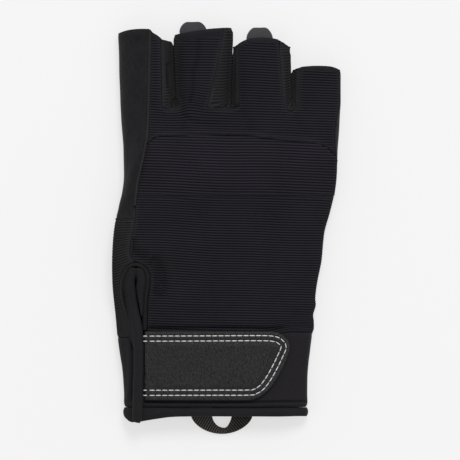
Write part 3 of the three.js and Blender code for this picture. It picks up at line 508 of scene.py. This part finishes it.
# The outer face is all that hangs together with the seed without a sharp turn, or all that faces one way
def markOutside(piece, seed, facing):
    piece.vertex_groups.new(name="outside")
    for face in piece.data.polygons:
        face.select = facing(face) if facing else False
    if not facing:
        max(piece.data.polygons, key=seed).select = True
    openMesh(piece, "FACE")
    if not facing:
        bpy.ops.mesh.faces_select_linked_flat(sharpness=sharpTurn)
    bpy.ops.object.vertex_group_assign()
    bpy.ops.mesh.select_all(action="DESELECT")
    closeMesh()


def topSeed(face):
    return face.center.z + 0.02 * face.normal.z


def bottomSeed(face):
    return -topSeed(face)


# Share of the panel's face in each point, and of its cut edge, from the weights of the outside
def faceShare(weights):
    return np.clip((weights - 0.6) / 0.3, 0, 1)


def edgeShare(weights):
    return 4 * weights * (1 - weights)


# Round crests, one to each whole number
def ribProfile(ribs):
    return 1 - np.abs(2 * (ribs - np.floor(ribs)) - 1) ** 2


# Finer rows where ribs are pressed in: edges that run along the cloth get cuts, on the outside only
def addRibRows(piece, cuts, runsAlong):
    co = pointsOf(piece)
    weights = weightsOf(piece, "outside")
    onFace = weights > 0.85
    for edge in piece.data.edges:
        a, b = edge.vertices
        edge.select = bool(onFace[a] and onFace[b] and runsAlong(co[a], co[b]))
    bpy.context.tool_settings.mesh_select_mode = (False, True, False)
    pickOnly(piece)
    bpy.ops.object.mode_set(mode="EDIT")
    bpy.ops.mesh.subdivide(number_cuts=cuts, smoothness=0)
    bpy.ops.mesh.select_all(action="DESELECT")
    closeMesh()


def alongHand(start, end):
    return abs(end[1] - start[1]) > 0.75 * np.linalg.norm(end - start)


def alongStrip(start, end):
    return abs(end[2] - start[2]) < 0.5 * np.linalg.norm(end - start)


# Distance of each point from the middle of the panel's cut edge
def distanceFromRim(piece, weights):
    co = pointsOf(piece)
    rim = np.where((weights > 0.3) & (weights < 0.8))[0]
    tree = KDTree(len(rim))
    for place, index in enumerate(rim):
        tree.insert(co[index], place)
    tree.balance()
    halfWall = 0.0005
    return np.clip(np.array([tree.find(point)[2] for point in co]) - halfWall, 0, None)


def slowWaves(co, size, seed):
    return np.array([noise.noise(Vector(p) / size + Vector((seed, 0, 0))) for p in co])


# Writes the cloth's own coordinates, x in stitches and y in ribs, where it is rubbed, where folds get painted shade,
# and where it is ribbed
def writeCloth(piece, across, along, rim=None, ribShare=None, paintedFoldShade=0.0):
    wearWidth = 0.0015
    layer = piece.data.uv_layers.get("cloth") or piece.data.uv_layers.new(name="cloth")
    corners = np.empty(len(piece.data.loops), dtype=int)
    piece.data.loops.foreach_get("vertex_index", corners)
    layer.data.foreach_set("uv", np.stack([across[corners], along[corners]], axis=1).ravel())
    edge = piece.data.attributes.new("wearAndFoldShade", "FLOAT", "POINT")
    nearness = np.zeros(len(across)) if rim is None else np.clip(1 - rim / wearWidth, 0, 1)
    edge.data.foreach_set("value", nearness - paintedFoldShade)
    ribbed = piece.data.attributes.new("ribShare", "FLOAT", "POINT")
    ribbed.data.foreach_set("value", np.ones(len(across)) if ribShare is None else ribShare)


def onFloor(co):
    co[:, 2] = np.maximum(co[:, 2], 0)
    return co


# The seam of knit and cuff rises to the little finger's side, and the cuff is narrower there
slant = {
    "seamRow": 336, "farRow": 316, "startColumn": 262, "endColumn": 292, "rise": 0.0024,
    "base": 0.002, "height": 0.004,
}


def cuffSlant(co, spread):
    seam = fromPicture(0, slant["seamRow"])[1]
    far = fromPicture(0, slant["farRow"])[1] - seam
    band = np.where(co[:, 1] > seam, eased(1 - (co[:, 1] - seam) / far), eased(1 + (co[:, 1] - seam) / far))
    left = fromPicture(slant["startColumn"], 0)[0]
    right = eased((co[:, 0] - left) / (fromPicture(slant["endColumn"], 0)[0] - left))
    lift = band * right * eased((co[:, 2] - slant["base"]) / slant["height"])
    shift = np.zeros_like(co)
    shift[:, 0] = spread * lift
    shift[:, 1] = slant["rise"] * lift
    return shift


# Presses ribs, seams, folds and slow waves into the outside of a panel, and marks painted shade for its sunken folds
def pressCloth(piece, settings, across, along, shift=None):
    weights = weightsOf(piece, "outside")
    rim = distanceFromRim(piece, weights)
    co = pointsOf(piece)
    ribs = along / settings["ribPitch"]
    ribShare = np.ones(len(co))
    for plain in settings.get("plain", []):
        away = awayFromPath(co, picturePath(plain["path"]))[0]
        ribShare = np.minimum(ribShare, eased((away - plain["width"]) / settings["plainFade"]))
    ribShare *= 0.3 + 0.7 * eased(rim / settings["plainRim"])
    folded = foldRise(co, settings.get("folds", []))
    rise = settings["ribHeight"] * (ribProfile(ribs) - 0.5) * np.clip(rim / settings["ribFade"], 0, 1) * ribShare
    rise -= settings["seamDepth"] * np.clip(1 - rim / settings["seamWidth"], 0, 1) ** 2
    rise += settings["waves"] * slowWaves(co, settings["waveSize"], 3.0) * np.clip(rim / settings["waveFade"], 0, 1)
    rise += folded
    # painted shade: sunken folds and dents are coloured darker, fully so at the depth given in the settings
    paintedFoldShade = np.clip(-folded / settings["paintedShadeDepth"], 0, 1)
    fill = settings["seamFill"] * edgeShare(weights)
    moved = co + normalsOf(piece) * (rise * faceShare(weights) + fill)[:, None]
    moved += cuffSlant(co, settings.get("flare", 0.0))
    if shift is not None:
        moved += shift
    putPoints(piece, onFloor(moved))
    writeCloth(piece, across / settings["stitchPitch"], ribs, rim, ribShare, paintedFoldShade)


handKnit = {
    "tilt": 0.03,            # ribs run down to the little finger's side
    "ribDrift": 0.0006,      # ribs wander a little
    "driftSize": 0.03,
    "stitchPitch": 0.0009,
    "ribFade": 0.0008,       # ribs grow flat this near to a seam
    "plainRim": 0.001,
    "plainFade": 0.0007,
    "seamDepth": 0.00015,
    "seamWidth": 0.001,
    "seamFill": 0.0002,      # the cut edge swells until it meets its neighbour
    "waves": 0.00025,
    "waveSize": 0.014,
    "waveFade": 0.004,
    # painted shade: how deep a fold must sink to get its darkest colour
    "paintedShadeDepth": 0.002,      # a dent this deep is as dark as it gets
}


def backPanel(settings):
    piece = softCopy(settings["node"], settings["piece"], topSeed, levels=settings["levels"])
    if settings.get("fill"):
        inflate(piece, settings)
    addRibRows(piece, settings["cuts"], alongHand)
    co = pointsOf(piece)
    along = co[:, 1] + settings["tilt"] * co[:, 0] + settings["ribDrift"] * slowWaves(co, settings["driftSize"], 9.0)
    for lean in settings.get("leans", []):
        away, share = awayFromPath(co, picturePath(lean["path"]))
        side = co[:, 0] - fromPicture(*lean["path"][0])[0]
        along = along + lean["lean"] * side * np.exp(-((away / lean["width"]) ** 2)) * eased(2 * share)
    pressCloth(piece, settings, co[:, 0], along)
    finishPiece(piece, settings["node"], settings["material"])
    return piece


upperBack = {
    **handKnit, "node": "back_upper", "piece": "back_upper_knit", "slot": "knit", "material": knitCloth,
    "ribPitch": 0.00117, "ribHeight": 0.00017, "levels": 2, "cuts": 5,
    "folds": [
        # valley down the middle finger and its turned edge
        {"path": [(198, 38), (197, 60), (193, 70), (192.5, 80), (191, 95), (188, 106)],
         "rise": -0.0009, "width": 0.0008, "fade": 0.05},
        {"path": [(205, 40), (204, 60), (202, 80), (198, 98)], "rise": 0.0005, "width": 0.0020, "fade": 0.1},
        {"path": [(184, 40), (184, 60), (183, 85), (182, 100)], "rise": 0.0004, "width": 0.0025, "fade": 0.1},
        {"path": [(222, 42), (218, 60), (212, 78), (205, 95), (197, 107)],
         "rise": 0.0006, "width": 0.0012, "fade": 0.05},
        # pull of the cloth below the crotches
        {"path": [(178, 113), (190, 121), (206, 125), (224, 124)], "rise": -0.0006, "width": 0.0016},
        {"path": [(182, 122), (196, 130), (215, 131)], "rise": 0.0004, "width": 0.0018},
        {"path": [(236, 108), (246, 120), (252, 132)], "rise": -0.0004, "width": 0.0020},
        {"path": [(294, 116), (300, 126), (312, 136)], "rise": -0.0004, "width": 0.0018},
        # the knit rises to the padded seam
        {"path": [(153, 138), (162, 134), (200, 133), (245, 133.5), (270, 137), (297, 139), (312, 141),
                  (322, 145)], "rise": 0.0010, "width": 0.0012, "fade": 0.03},
    ],
    "leans": [{"path": [(180, 80), (182, 105)], "lean": -0.35, "width": 0.006}],
    # turned edges of the fingers' open ends
    "plain": [
        {"path": [(172, 37), (190, 33.5), (203, 32), (218, 30.5), (234, 30)], "width": 0.0028},
        {"path": [(238, 47), (247, 41), (262, 39), (276, 42), (287, 47)], "width": 0.0009},
        {"path": [(298, 70), (312, 67), (326, 67.5), (339, 71)], "width": 0.001},
        {"path": [(151, 34), (156, 36), (161, 42)], "width": 0.001},
    ],
}
lowerBack = {
    **handKnit, "node": "back_lower", "piece": "back_lower_knit", "slot": "knit", "material": knitCloth,
    "ribPitch": 0.00112, "ribHeight": 0.00017, "levels": 2, "cuts": 5, "flare": 0.0006,
    "folds": [
        {"path": [(139, 199), (200, 199), (260, 199), (326, 200)], "rise": -0.0005, "width": 0.0009, "fade": 0.03},
        # hollow beside the head of the slit, and small rolls above the strap
        {"path": [(148, 257), (158, 268), (160, 284), (156, 300)], "rise": -0.0017, "width": 0.0032},
        {"path": [(152, 276), (153, 292), (150, 310)], "rise": 0.0006, "width": 0.0014},
        {"path": [(170, 300), (200, 306), (240, 304)], "rise": 0.0003, "width": 0.0030},
        {"path": [(285, 306), (305, 303), (328, 309)], "rise": 0.0005, "width": 0.0022},
        {"path": [(290, 316), (310, 314), (330, 320)], "rise": -0.0004, "width": 0.0018},
        {"path": [(322, 205), (316, 215), (320, 228)], "rise": -0.0004, "width": 0.0025},
        # soft dent above the head of the slit
        {"path": [(131, 236), (131, 248), (137, 254), (150, 259)], "rise": -0.0012, "width": 0.0026},
        # the cloth dips where the strap begins
        {"path": [(146, 328.5), (200, 328.5), (250, 328.5), (284, 331)], "rise": -0.0010, "width": 0.0010,
         "fade": 0.03},
    ],
}
knucklePad = {
    **handKnit, "node": "knuckle_pad", "piece": "knuckle_pad_knit", "slot": "pad_knit", "material": padCloth,
    "ribPitch": 0.00126, "ribHeight": 0.00024, "levels": 2, "cuts": 6, "seamDepth": 0.0001, "seamFill": 0.0005,
    "fill": 0.5, "pressure": 350.0, "swell": 0.0008, "heldRim": 0.0012, "frames": 20,
}


# The pad's cover swells under pressure between its seams, where it is held
def inflate(piece, settings):
    weights = weightsOf(piece, "outside")
    rim = distanceFromRim(piece, weights)
    held = piece.vertex_groups.new(name="held")
    for index in np.where((weights < 0.95) | (rim < settings["heldRim"]))[0]:
        held.add([int(index)], 1.0, "REPLACE")
    start = pointsOf(piece)
    pickOnly(piece)
    bpy.ops.object.modifier_add(type="CLOTH")
    cloth = piece.modifiers[-1]
    cloth.settings.use_pressure = True
    cloth.settings.uniform_pressure_force = settings["pressure"]
    cloth.settings.vertex_group_mass = "held"
    cloth.settings.effector_weights.gravity = 0
    cloth.collision_settings.use_collision = False
    for step in range(settings["frames"]):
        scene.frame_set(step + 1)
    bpy.ops.object.modifier_apply(modifier=cloth.name)
    scene.frame_set(1)
    moved = pointsOf(piece) - start
    length = np.linalg.norm(moved, axis=1)
    print("pad swells by up to", round(length.max() * 1000, 2), "mm, kept to", settings["swell"] * 1000)
    scale = np.minimum(1, settings["swell"] / np.maximum(length.max(), 1e-9))
    putPoints(piece, start + moved * scale)


backPanel(upperBack)
backPanel(lowerBack)
pad = backPanel(knucklePad)

thumbGusset = {
    **handKnit, "node": "thumb_gusset", "piece": "thumb_gusset_knit", "slot": "side_knit",
    "material": sideCloth, "ribPitch": 0.00125, "ribHeight": 0.00018, "levels": 2, "cuts": 5, "tilt": -0.4,
    "plainRim": 0.0002,
    "middle": (-0.035, 0.006),   # x and z inside the glove, which the panel faces away from
    "facing": 0.0008,
    "tiltRow": 215,
    "tiltRun": 0.022,
    "sideTilt": 0.1,
    "plain": [{"path": [(112, 330), (128, 330)], "width": 0.0085}],
    "folds": [
        {"path": [(119, 222), (124, 219), (128, 226)], "rise": -0.0006, "width": 0.0012},
        {"path": [(118, 232), (124, 236), (124, 246)], "rise": 0.0004, "width": 0.0015},
        {"path": [(124, 308), (127, 320), (129, 332)], "rise": -0.0006, "width": 0.0010},
    ],
}


def gussetPanel(settings):
    def facesOut(face):
        x, z = settings["middle"]
        out = face.normal.x * (face.center.x - x) + face.normal.z * (face.center.z - z)
        return out > settings["facing"]

    piece = softCopy(settings["node"], settings["piece"], None, levels=settings["levels"], facing=facesOut)
    addRibRows(piece, settings["cuts"], alongHand)
    co = pointsOf(piece)
    down = eased((fromPicture(0, settings["tiltRow"])[1] - co[:, 1]) / settings["tiltRun"])
    along = co[:, 1] + settings["tilt"] * down * (co[:, 0] - co[:, 0].min()) + settings["sideTilt"] * co[:, 2]
    pressCloth(piece, settings, co[:, 0] + co[:, 2], along)
    finishPiece(piece, settings["node"], settings["material"])


gussetPanel(thumbGusset)

fourchettes = {
    **handKnit, "slot": "side_knit", "material": sideCloth, "ribPitch": 0.0013, "ribHeight": 0.00014,
    "levels": 3, "cuts": 1, "waves": 0.0001,
    "closeReach": 0.0009,    # walls nearer to the gap than this close on it
    "closeFade": 0.0004,
    "closeRim": 0.0015,      # and less so near their seams
    "bellyReach": 0.01,
    "bellyHeight": 0.0045,
    "bellyTop": 0.0015,      # below the top edge
    "bellyRim": 0.002,
    "crotchRadius": 0.0045,
    # gap runs between the two walls from the crotch up; belly is how far the crotch bulges out to the
    # finger tips; tilt is how the ribs lean on the left and the right wall
    "nodes": {
        "fourchette_index_middle": {
            "gap": [(176.2, 106), (174.8, 71), (173.6, 46)], "belly": 0.0070, "tilt": (0.0, 0.0),
            "plain": [{"path": [(167, 36), (167, 78)], "width": 0.0035}],
            "folds": [
                {"path": [(168, 62), (168.5, 78), (169.5, 90)], "rise": -0.0011, "width": 0.0009},
                {"path": [(165, 62), (165, 84), (168, 97), (176, 105)], "rise": 0.0007, "width": 0.0014},
            ],
        },
        "fourchette_middle_ring": {
            "gap": [(231, 106), (231.8, 71), (232.5, 50), (233, 40)], "belly": 0.0050, "tilt": (0.0, 0.5),
            "folds": [{"path": [(217, 62), (215, 76), (211, 90)], "rise": -0.0009, "width": 0.0011}],
        },
        "fourchette_ring_little": {
            "gap": [(291.8, 106), (291.2, 76), (290.8, 60)], "belly": 0.0050, "tilt": (0.0, 0.3),
        },
    },
}


# Sideways place of the gap between two fingers at each height y
def gapLine(gap, y):
    line = np.array([fromPicture(*point) for point in gap])
    return np.interp(y, line[:, 1], line[:, 0])


def fourchettePanel(settings, node):
    own = {**settings, **settings["nodes"][node]}
    low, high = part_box(node)
    bottom = low.y + own["crotchRadius"]

    def facesGap(face):
        toGap = Vector((gapLine(own["gap"], face.center.y) - face.center.x, max(bottom - face.center.y, 0), 0))
        return face.normal.dot(toGap.normalized()) > 0.1

    piece = softCopy(node, node + "_knit", None, levels=own["levels"], facing=facesGap)
    addRibRows(piece, own["cuts"], alongStrip)
    co = pointsOf(piece)
    side = co[:, 0] - gapLine(own["gap"], co[:, 1])
    up = co[:, 1] - bottom
    turn = np.arctan2(np.abs(side), np.maximum(-up, 0.0001))
    along = np.sign(side) * (own["crotchRadius"] * turn + np.maximum(up, 0))
    along += np.where(side > 0, own["tilt"][1], own["tilt"][0]) * co[:, 2]
    weights = weightsOf(piece, "outside")
    rim = distanceFromRim(piece, weights)
    top = high.z - own["bellyTop"]
    over = eased((top - co[:, 2]) / (top - own["bellyHeight"]))
    under = eased(co[:, 2] / own["bellyHeight"])
    near = np.exp(-((np.clip(co[:, 1] - low.y, 0, None) / own["bellyReach"]) ** 2))
    shift = np.zeros_like(co)
    close = eased((own["closeReach"] + own["closeFade"] - np.abs(side)) / own["closeFade"])
    shift[:, 0] = -side * close * eased(rim / own["closeRim"]) * faceShare(weights)
    shift[:, 1] = own["belly"] * over * under * near * eased(rim / own["bellyRim"])
    pressCloth(piece, own, co[:, 2], along, shift)
    finishPiece(piece, node, own["material"])


for node in fourchettes["nodes"]:
    fourchettePanel(fourchettes, node)
print("knit panels are made")


def writeThreads(obj, rim=None):
    co = pointsOf(obj)
    writeCloth(obj, co[:, 0] / 0.0009, co[:, 1] / 0.0012, rim)


# Suede and smooth cloth: seams, slow waves and folds, no ribs
def plainPanel(settings):
    obj = softCopy(settings["node"], settings["piece"], settings["seed"], levels=settings["levels"])
    co = pointsOf(obj)
    weights = weightsOf(obj, "outside")
    rim = distanceFromRim(obj, weights)
    rise = settings["waves"] * slowWaves(co, settings["waveSize"], 5.0) * np.clip(rim / settings["waveFade"], 0, 1)
    rise -= settings["seamDepth"] * np.clip(1 - rim / settings["seamWidth"], 0, 1) ** 2
    rise += foldRise(co, settings.get("folds", [])) * np.clip(co[:, 2] / settings["foldBase"] - 1, 0, 1)
    swell = rise * faceShare(weights) + settings["seamFill"] * edgeShare(weights)
    putPoints(obj, onFloor(co + normalsOf(obj) * swell[:, None] + cuffSlant(co, settings.get("flare", 0.0))))
    writeThreads(obj, rim)
    finishPiece(obj, settings["node"], settings["material"])


plainCloth = {
    "levels": 2, "waves": 0.0003, "waveSize": 0.012, "waveFade": 0.003, "seamDepth": 0.0002, "seamWidth": 0.0014,
    "seamFill": 0.00013,
    "foldBase": 0.004,       # folds start above this height
}
palm = {
    **plainCloth, "node": "palm_panel", "piece": "palm_suede", "slot": "suede", "material": suede,
    "seed": bottomSeed,
    "folds": [
        {"path": [(140, 128), (139, 150), (134, 175), (128, 205)], "rise": 0.0005, "width": 0.0022},
        {"path": [(131, 128), (129, 150), (125, 178), (121, 205)], "rise": -0.0004, "width": 0.0018},
        {"path": [(133, 40), (134, 70), (136, 100)], "rise": 0.0003, "width": 0.0025},
    ],
}
plainPanel(palm)
plainPanel({**plainCloth, "node": "thumb_palm", "piece": "thumb_palm_suede", "slot": "suede",
            "material": suede, "seed": bottomSeed})
plainPanel({**plainCloth, "node": "thumb_back", "piece": "thumb_back_knit", "slot": "side_knit",
            "material": sideCloth, "seed": topSeed})

cuff = {
    **plainCloth, "node": "cuff_band", "piece": "cuff_band_cloth", "slot": "cuff_cloth",
    "material": cuffCloth, "seed": topSeed, "levels": 3, "flare": -0.0004,
    "folds": [
        # turned edge above the hem
        {"path": [(143, 401.2), (200, 401.8), (260, 401.6), (307, 401.4)], "rise": -0.0011, "width": 0.0005,
         "fade": 0.01},
        {"path": [(143, 404.2), (200, 404.6), (260, 404.3), (307, 404)], "rise": 0.0004, "width": 0.0007,
         "fade": 0.01},
        # fold beside the roll
        {"path": [(129, 340), (129.6, 365), (129.4, 385), (128, 402)], "rise": 0.0006, "width": 0.0009,
         "fade": 0.1},
        {"path": [(132.6, 338), (132.4, 365), (132.2, 385), (131, 404)], "rise": -0.0007, "width": 0.0006,
         "fade": 0.05},
    ],
}
hem = {
    **plainCloth, "node": "cuff_hem", "piece": "cuff_hem_cloth", "slot": "trim", "material": trimCloth,
    "seed": topSeed, "levels": 3, "waves": 0.0004, "waveSize": 0.009, "seamFill": 0.0004,
}
plainPanel(cuff)
plainPanel(hem)


# Share from 0 at one picture row to 1 at another
def rowShare(co, start, end):
    first = fromPicture(0, start)[1]
    return eased((co[:, 1] - first) / (fromPicture(0, end)[1] - first))


# Small trim is smoothed all over, and its foot spreads until it meets the cloth beside it
def trimPiece(settings):
    obj = softCopy(settings["node"], settings["piece"], topSeed, settings["edgeRound"], settings["levels"])
    co = pointsOf(obj)
    no = normalsOf(obj)
    shift = no * (settings["waves"] * slowWaves(co, settings["waveSize"], 5.0))[:, None]
    steep = eased((0.35 - no[:, 2]) / 0.7)
    spread = settings["foot"] * steep * rowShare(co, *settings["footRows"])
    if settings["footSide"]:
        spread *= np.clip(3 * no[:, 0] * settings["footSide"], 0.2, 1)
    shift[:, :2] += no[:, :2] * spread[:, None]
    if settings["sculpt"]:
        shift += settings["sculpt"](co, no)
    putPoints(obj, onFloor(co + shift))
    writeThreads(obj)
    finishPiece(obj, settings["node"], settings["material"])


# The heads of the two rolls close on each other below the hood, from the first row of each pair to the second
rollHeads = {"headRows": (282, 272), "headReach": 0.0007, "neckRows": (304, 290), "neckReach": 0.0004}


def closeHead(direction):
    def sculpt(co, no):
        shift = np.zeros_like(co)
        facing = np.clip(no[:, 0] * direction, 0, 1)
        head = rollHeads["headReach"] * rowShare(co, *rollHeads["headRows"])
        neck = rollHeads["neckReach"] * rowShare(co, *rollHeads["neckRows"])
        shift[:, 0] = direction * facing * (head + neck)
        return shift

    return sculpt


# The hood's left leg runs on into the cuff
leftLeg = {"rows": (312, 328), "column": 136, "reach": (0.0007, -0.0045)}


def longLeg(co, no):
    shift = np.zeros_like(co)
    leg = rowShare(co, *leftLeg["rows"]) * (co[:, 0] < fromPicture(leftLeg["column"], 0)[0])
    shift[:, 0] = leftLeg["reach"][0] * leg
    shift[:, 1] = leftLeg["reach"][1] * leg
    return shift


# footSide is the side that spreads in full: -1 left, 1 right, 0 both
smallTrim = {
    "slot": "trim", "material": trimCloth, "levels": 2, "edgeRound": 0.0002, "waves": 0.0, "waveSize": 0.005,
    "foot": 0.0, "footSide": 0, "footRows": (350, 336), "sculpt": None,
}
rolledTrim = {**smallTrim, "levels": 3, "edgeRound": 0}
tabTrim = {**smallTrim, "slot": "tab_cloth", "material": tabCloth, "levels": 3, "waves": 0.0002}
trims = [
    {**smallTrim, "node": "side_piping", "piece": "side_piping_cord", "material": pipingCloth},
    {**smallTrim, "node": "slit_welt", "piece": "slit_welt_cloth", "foot": 0.0005, "sculpt": longLeg},
    {**rolledTrim, "node": "slit_roll_left", "piece": "slit_roll_left_cloth", "waves": 0.0003, "foot": 0.0013,
     "footSide": -1, "sculpt": closeHead(1)},
    {**rolledTrim, "node": "slit_roll_right", "piece": "slit_roll_right_cloth", "waves": 0.0002, "foot": 0.0008,
     "footSide": 1, "sculpt": closeHead(-1)},
    {**tabTrim, "node": "pull_tab_middle", "piece": "pull_tab_middle_tape"},
    {**tabTrim, "node": "pull_tab_ring", "piece": "pull_tab_ring_tape"},
]
for trim in trims:
    trimPiece(trim)
print("plain panels and trim are made")

# Hanging loop: webbing whose ribs run across its width
webbing = {
    "foldPoint": (225, 428), "leftRibs": (0.87, -0.5), "rightRibs": (0.75, 0.66), "ribPitch": 0.00105,
    "ribHeight": 0.00016, "threadPitch": 0.0012, "cuts": 2, "sideFade": 0.002,
    "foldRise": 0.0016, "foldRadius": 0.0075, "foldFade": 0.0035, "foldShade": 1.2,
    "apexLean": 0.0011, "apexRadius": 0.0068, "apexFade": 0.002, "apexWidth": 0.0022,
    "sewnIn": 0.0028,        # the ring's centre lies this far above the hem's lower edge
}


def hangingLoop(settings):
    obj = softCopy("hang_loop", "hang_loop_webbing", topSeed, levels=2)
    low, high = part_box("hang_loop")
    centre = np.array([(low.x + high.x) / 2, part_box("cuff_hem")[0].y + settings["sewnIn"]])

    def alongLoop(start, end):
        run = (end - start)[:2]
        spoke = (start + end)[:2] / 2 - centre
        if spoke[1] > 0:
            return abs(run[1]) > 0.7 * np.linalg.norm(end - start)
        return abs(run @ spoke) < 0.5 * np.linalg.norm(run) * np.linalg.norm(spoke)

    addRibRows(obj, settings["cuts"], alongLoop)
    co = pointsOf(obj)
    spoke = co[:, :2] - centre
    fold = np.array(fromPicture(*settings["foldPoint"]))
    x, y = (co[:, :2] - fold).T
    left, right = settings["leftRibs"], settings["rightRibs"]
    along = np.where(x < 0, left[0] * x + left[1] * y, right[0] * x + right[1] * y)
    ribs = along / settings["ribPitch"]
    rise = settings["ribHeight"] * (ribProfile(ribs) - 0.5) * faceShare(weightsOf(obj, "outside"))
    shift = normalsOf(obj) * rise[:, None]
    away = np.linalg.norm(spoke, axis=1)
    # the right leg is folded over, so its inner edge stands up, and the eye's point leans to it
    inner = eased((settings["foldRadius"] - away) / settings["foldFade"])
    shift[:, 2] += settings["foldRise"] * eased(spoke[:, 0] / settings["sideFade"]) * inner
    apex = np.exp(-((spoke[:, 0] / settings["apexWidth"]) ** 2)) * (spoke[:, 1] < 0)
    shift[:, 0] += settings["apexLean"] * (apex * eased((settings["apexRadius"] - away) / settings["apexFade"]))
    putPoints(obj, onFloor(co + shift))
    # painted shade: the folded-over right leg is coloured darker
    folded = settings["foldShade"] * eased(x / settings["sideFade"])
    writeCloth(obj, away / settings["threadPitch"], ribs, paintedFoldShade=folded)
    finishPiece(obj, "hang_loop", webbingCloth)


hangingLoop(webbing)

# Strap: leather with a puffed face between its stitch rows, and the two rows of white stitching
strap = {
    "outerRow": [
        (143, 335.8), (180, 335.7), (220, 335.5), (258, 335.3), (272, 335.8), (280, 338.2), (285, 343.4),
        (285.6, 349), (282.5, 356.5), (277, 368), (270.5, 379.5), (263.5, 388.6), (256, 393.4),
        (248, 394.7), (220, 394.8), (180, 394.9), (143, 395.0),
    ],
    "rowGap": 0.0023, "groove": 0.00028, "grooveWidth": 0.0005,
    "puff": 0.00035, "puffStart": 0.0042, "puffRun": 0.002, "rimDrop": 0.0003, "rimWidth": 0.001,
    "waves": 0.00012, "waveSize": 0.006,
    "stitchPitch": 0.0028, "stitchLength": 0.0026, "threadWidth": 0.0005, "threadHeight": 0.00035,
    "threadRise": 0.2,       # of its height above the leather
}


def insetPath(path, distance):
    run = np.gradient(path, axis=0)
    run /= np.linalg.norm(run, axis=1)[:, None]
    return path + distance * np.stack([run[:, 1], -run[:, 0]], axis=1)


def stitchRows(settings):
    outer = picturePath(settings["outerRow"], 0.0005)
    return [outer, insetPath(outer, settings["rowGap"])]


def leatherStrap(settings):
    obj = softCopy("wrist_strap", "wrist_strap_leather", topSeed, 0.0004, 3)
    co = pointsOf(obj)
    weights = weightsOf(obj, "outside")
    rim = distanceFromRim(obj, weights)
    rise = np.zeros(len(co))
    for row in stitchRows(settings):
        away = awayFromPath(co, row[::4])[0]
        rise -= settings["groove"] * np.exp(-((away / settings["grooveWidth"]) ** 2))
    rise += settings["puff"] * eased((rim - settings["puffStart"]) / settings["puffRun"])
    rise -= settings["rimDrop"] * np.clip(1 - rim / settings["rimWidth"], 0, 1) ** 2
    rise += settings["waves"] * slowWaves(co, settings["waveSize"], 7.0)
    rise *= faceShare(weights)
    putPoints(obj, co + normalsOf(obj) * rise[:, None])
    writeCloth(obj, co[:, 0] / 0.001, co[:, 1] / 0.001, rim)
    finishPiece(obj, "wrist_strap", strapLeather)
    return obj


def surfaceUnder(obj):
    tree = BVHTree.FromObject(obj, bpy.context.evaluated_depsgraph_get())

    def heightAt(x, y):
        spot = tree.ray_cast(Vector((x, y, 0.05)), Vector((0, 0, -1)))[0]
        return spot.z if spot else None

    return heightAt


# One stitch is modelled and copied along the rows
def sewStitches(name, settings, heightAt, material):
    bpy.ops.object.select_all(action="DESELECT")
    bpy.ops.mesh.primitive_uv_sphere_add(segments=8, ring_count=7, radius=0.5, rotation=(0, math.radians(90), 0))
    bpy.ops.object.transform_apply(rotation=True)
    first = bpy.context.active_object
    bpy.ops.transform.resize(value=(settings["stitchLength"], settings["threadWidth"], settings["threadHeight"]))
    bpy.ops.object.transform_apply(scale=True)
    glance = 0.0004          # how far ahead a stitch points
    copies = []
    for row in stitchRows(settings):
        lengths = lengthsAlong(row)
        count = int(lengths[-1] / settings["stitchPitch"])
        for place in (np.arange(count) + 0.5) * lengths[-1] / count:
            x, y = (float(np.interp(place, lengths, row[:, axis])) for axis in (0, 1))
            ahead = [float(np.interp(place + glance, lengths, row[:, axis])) for axis in (0, 1)]
            z = heightAt(x, y)
            if z is None:
                continue
            copy = first.copy()
            copy.data = first.data.copy()
            copy.location = (x, y, z + settings["threadRise"] * settings["threadHeight"])
            copy.rotation_euler = (0, 0, math.atan2(ahead[1] - y, ahead[0] - x))
            scene.collection.objects.link(copy)
            copies.append(copy)
    bpy.data.objects.remove(first)
    bpy.ops.object.select_all(action="DESELECT")
    for copy in copies:
        copy.select_set(True)
    bpy.context.view_layer.objects.active = copies[0]
    bpy.ops.object.join()
    bpy.ops.object.transform_apply(location=True, rotation=True, scale=True)
    stitching = bpy.context.active_object
    stitching.name = name
    co = pointsOf(stitching)
    writeCloth(stitching, co[:, 0] / 0.0003, co[:, 1] / 0.0003)
    stitching.data.materials.clear()
    stitching.data.materials.append(material)
    bpy.ops.object.shade_smooth()
    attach(stitching, "root")
    print("sewed", name, len(copies), "stitches")


leather = leatherStrap(strap)
sewStitches("strap_stitching", strap, surfaceUnder(leather), whiteThread)
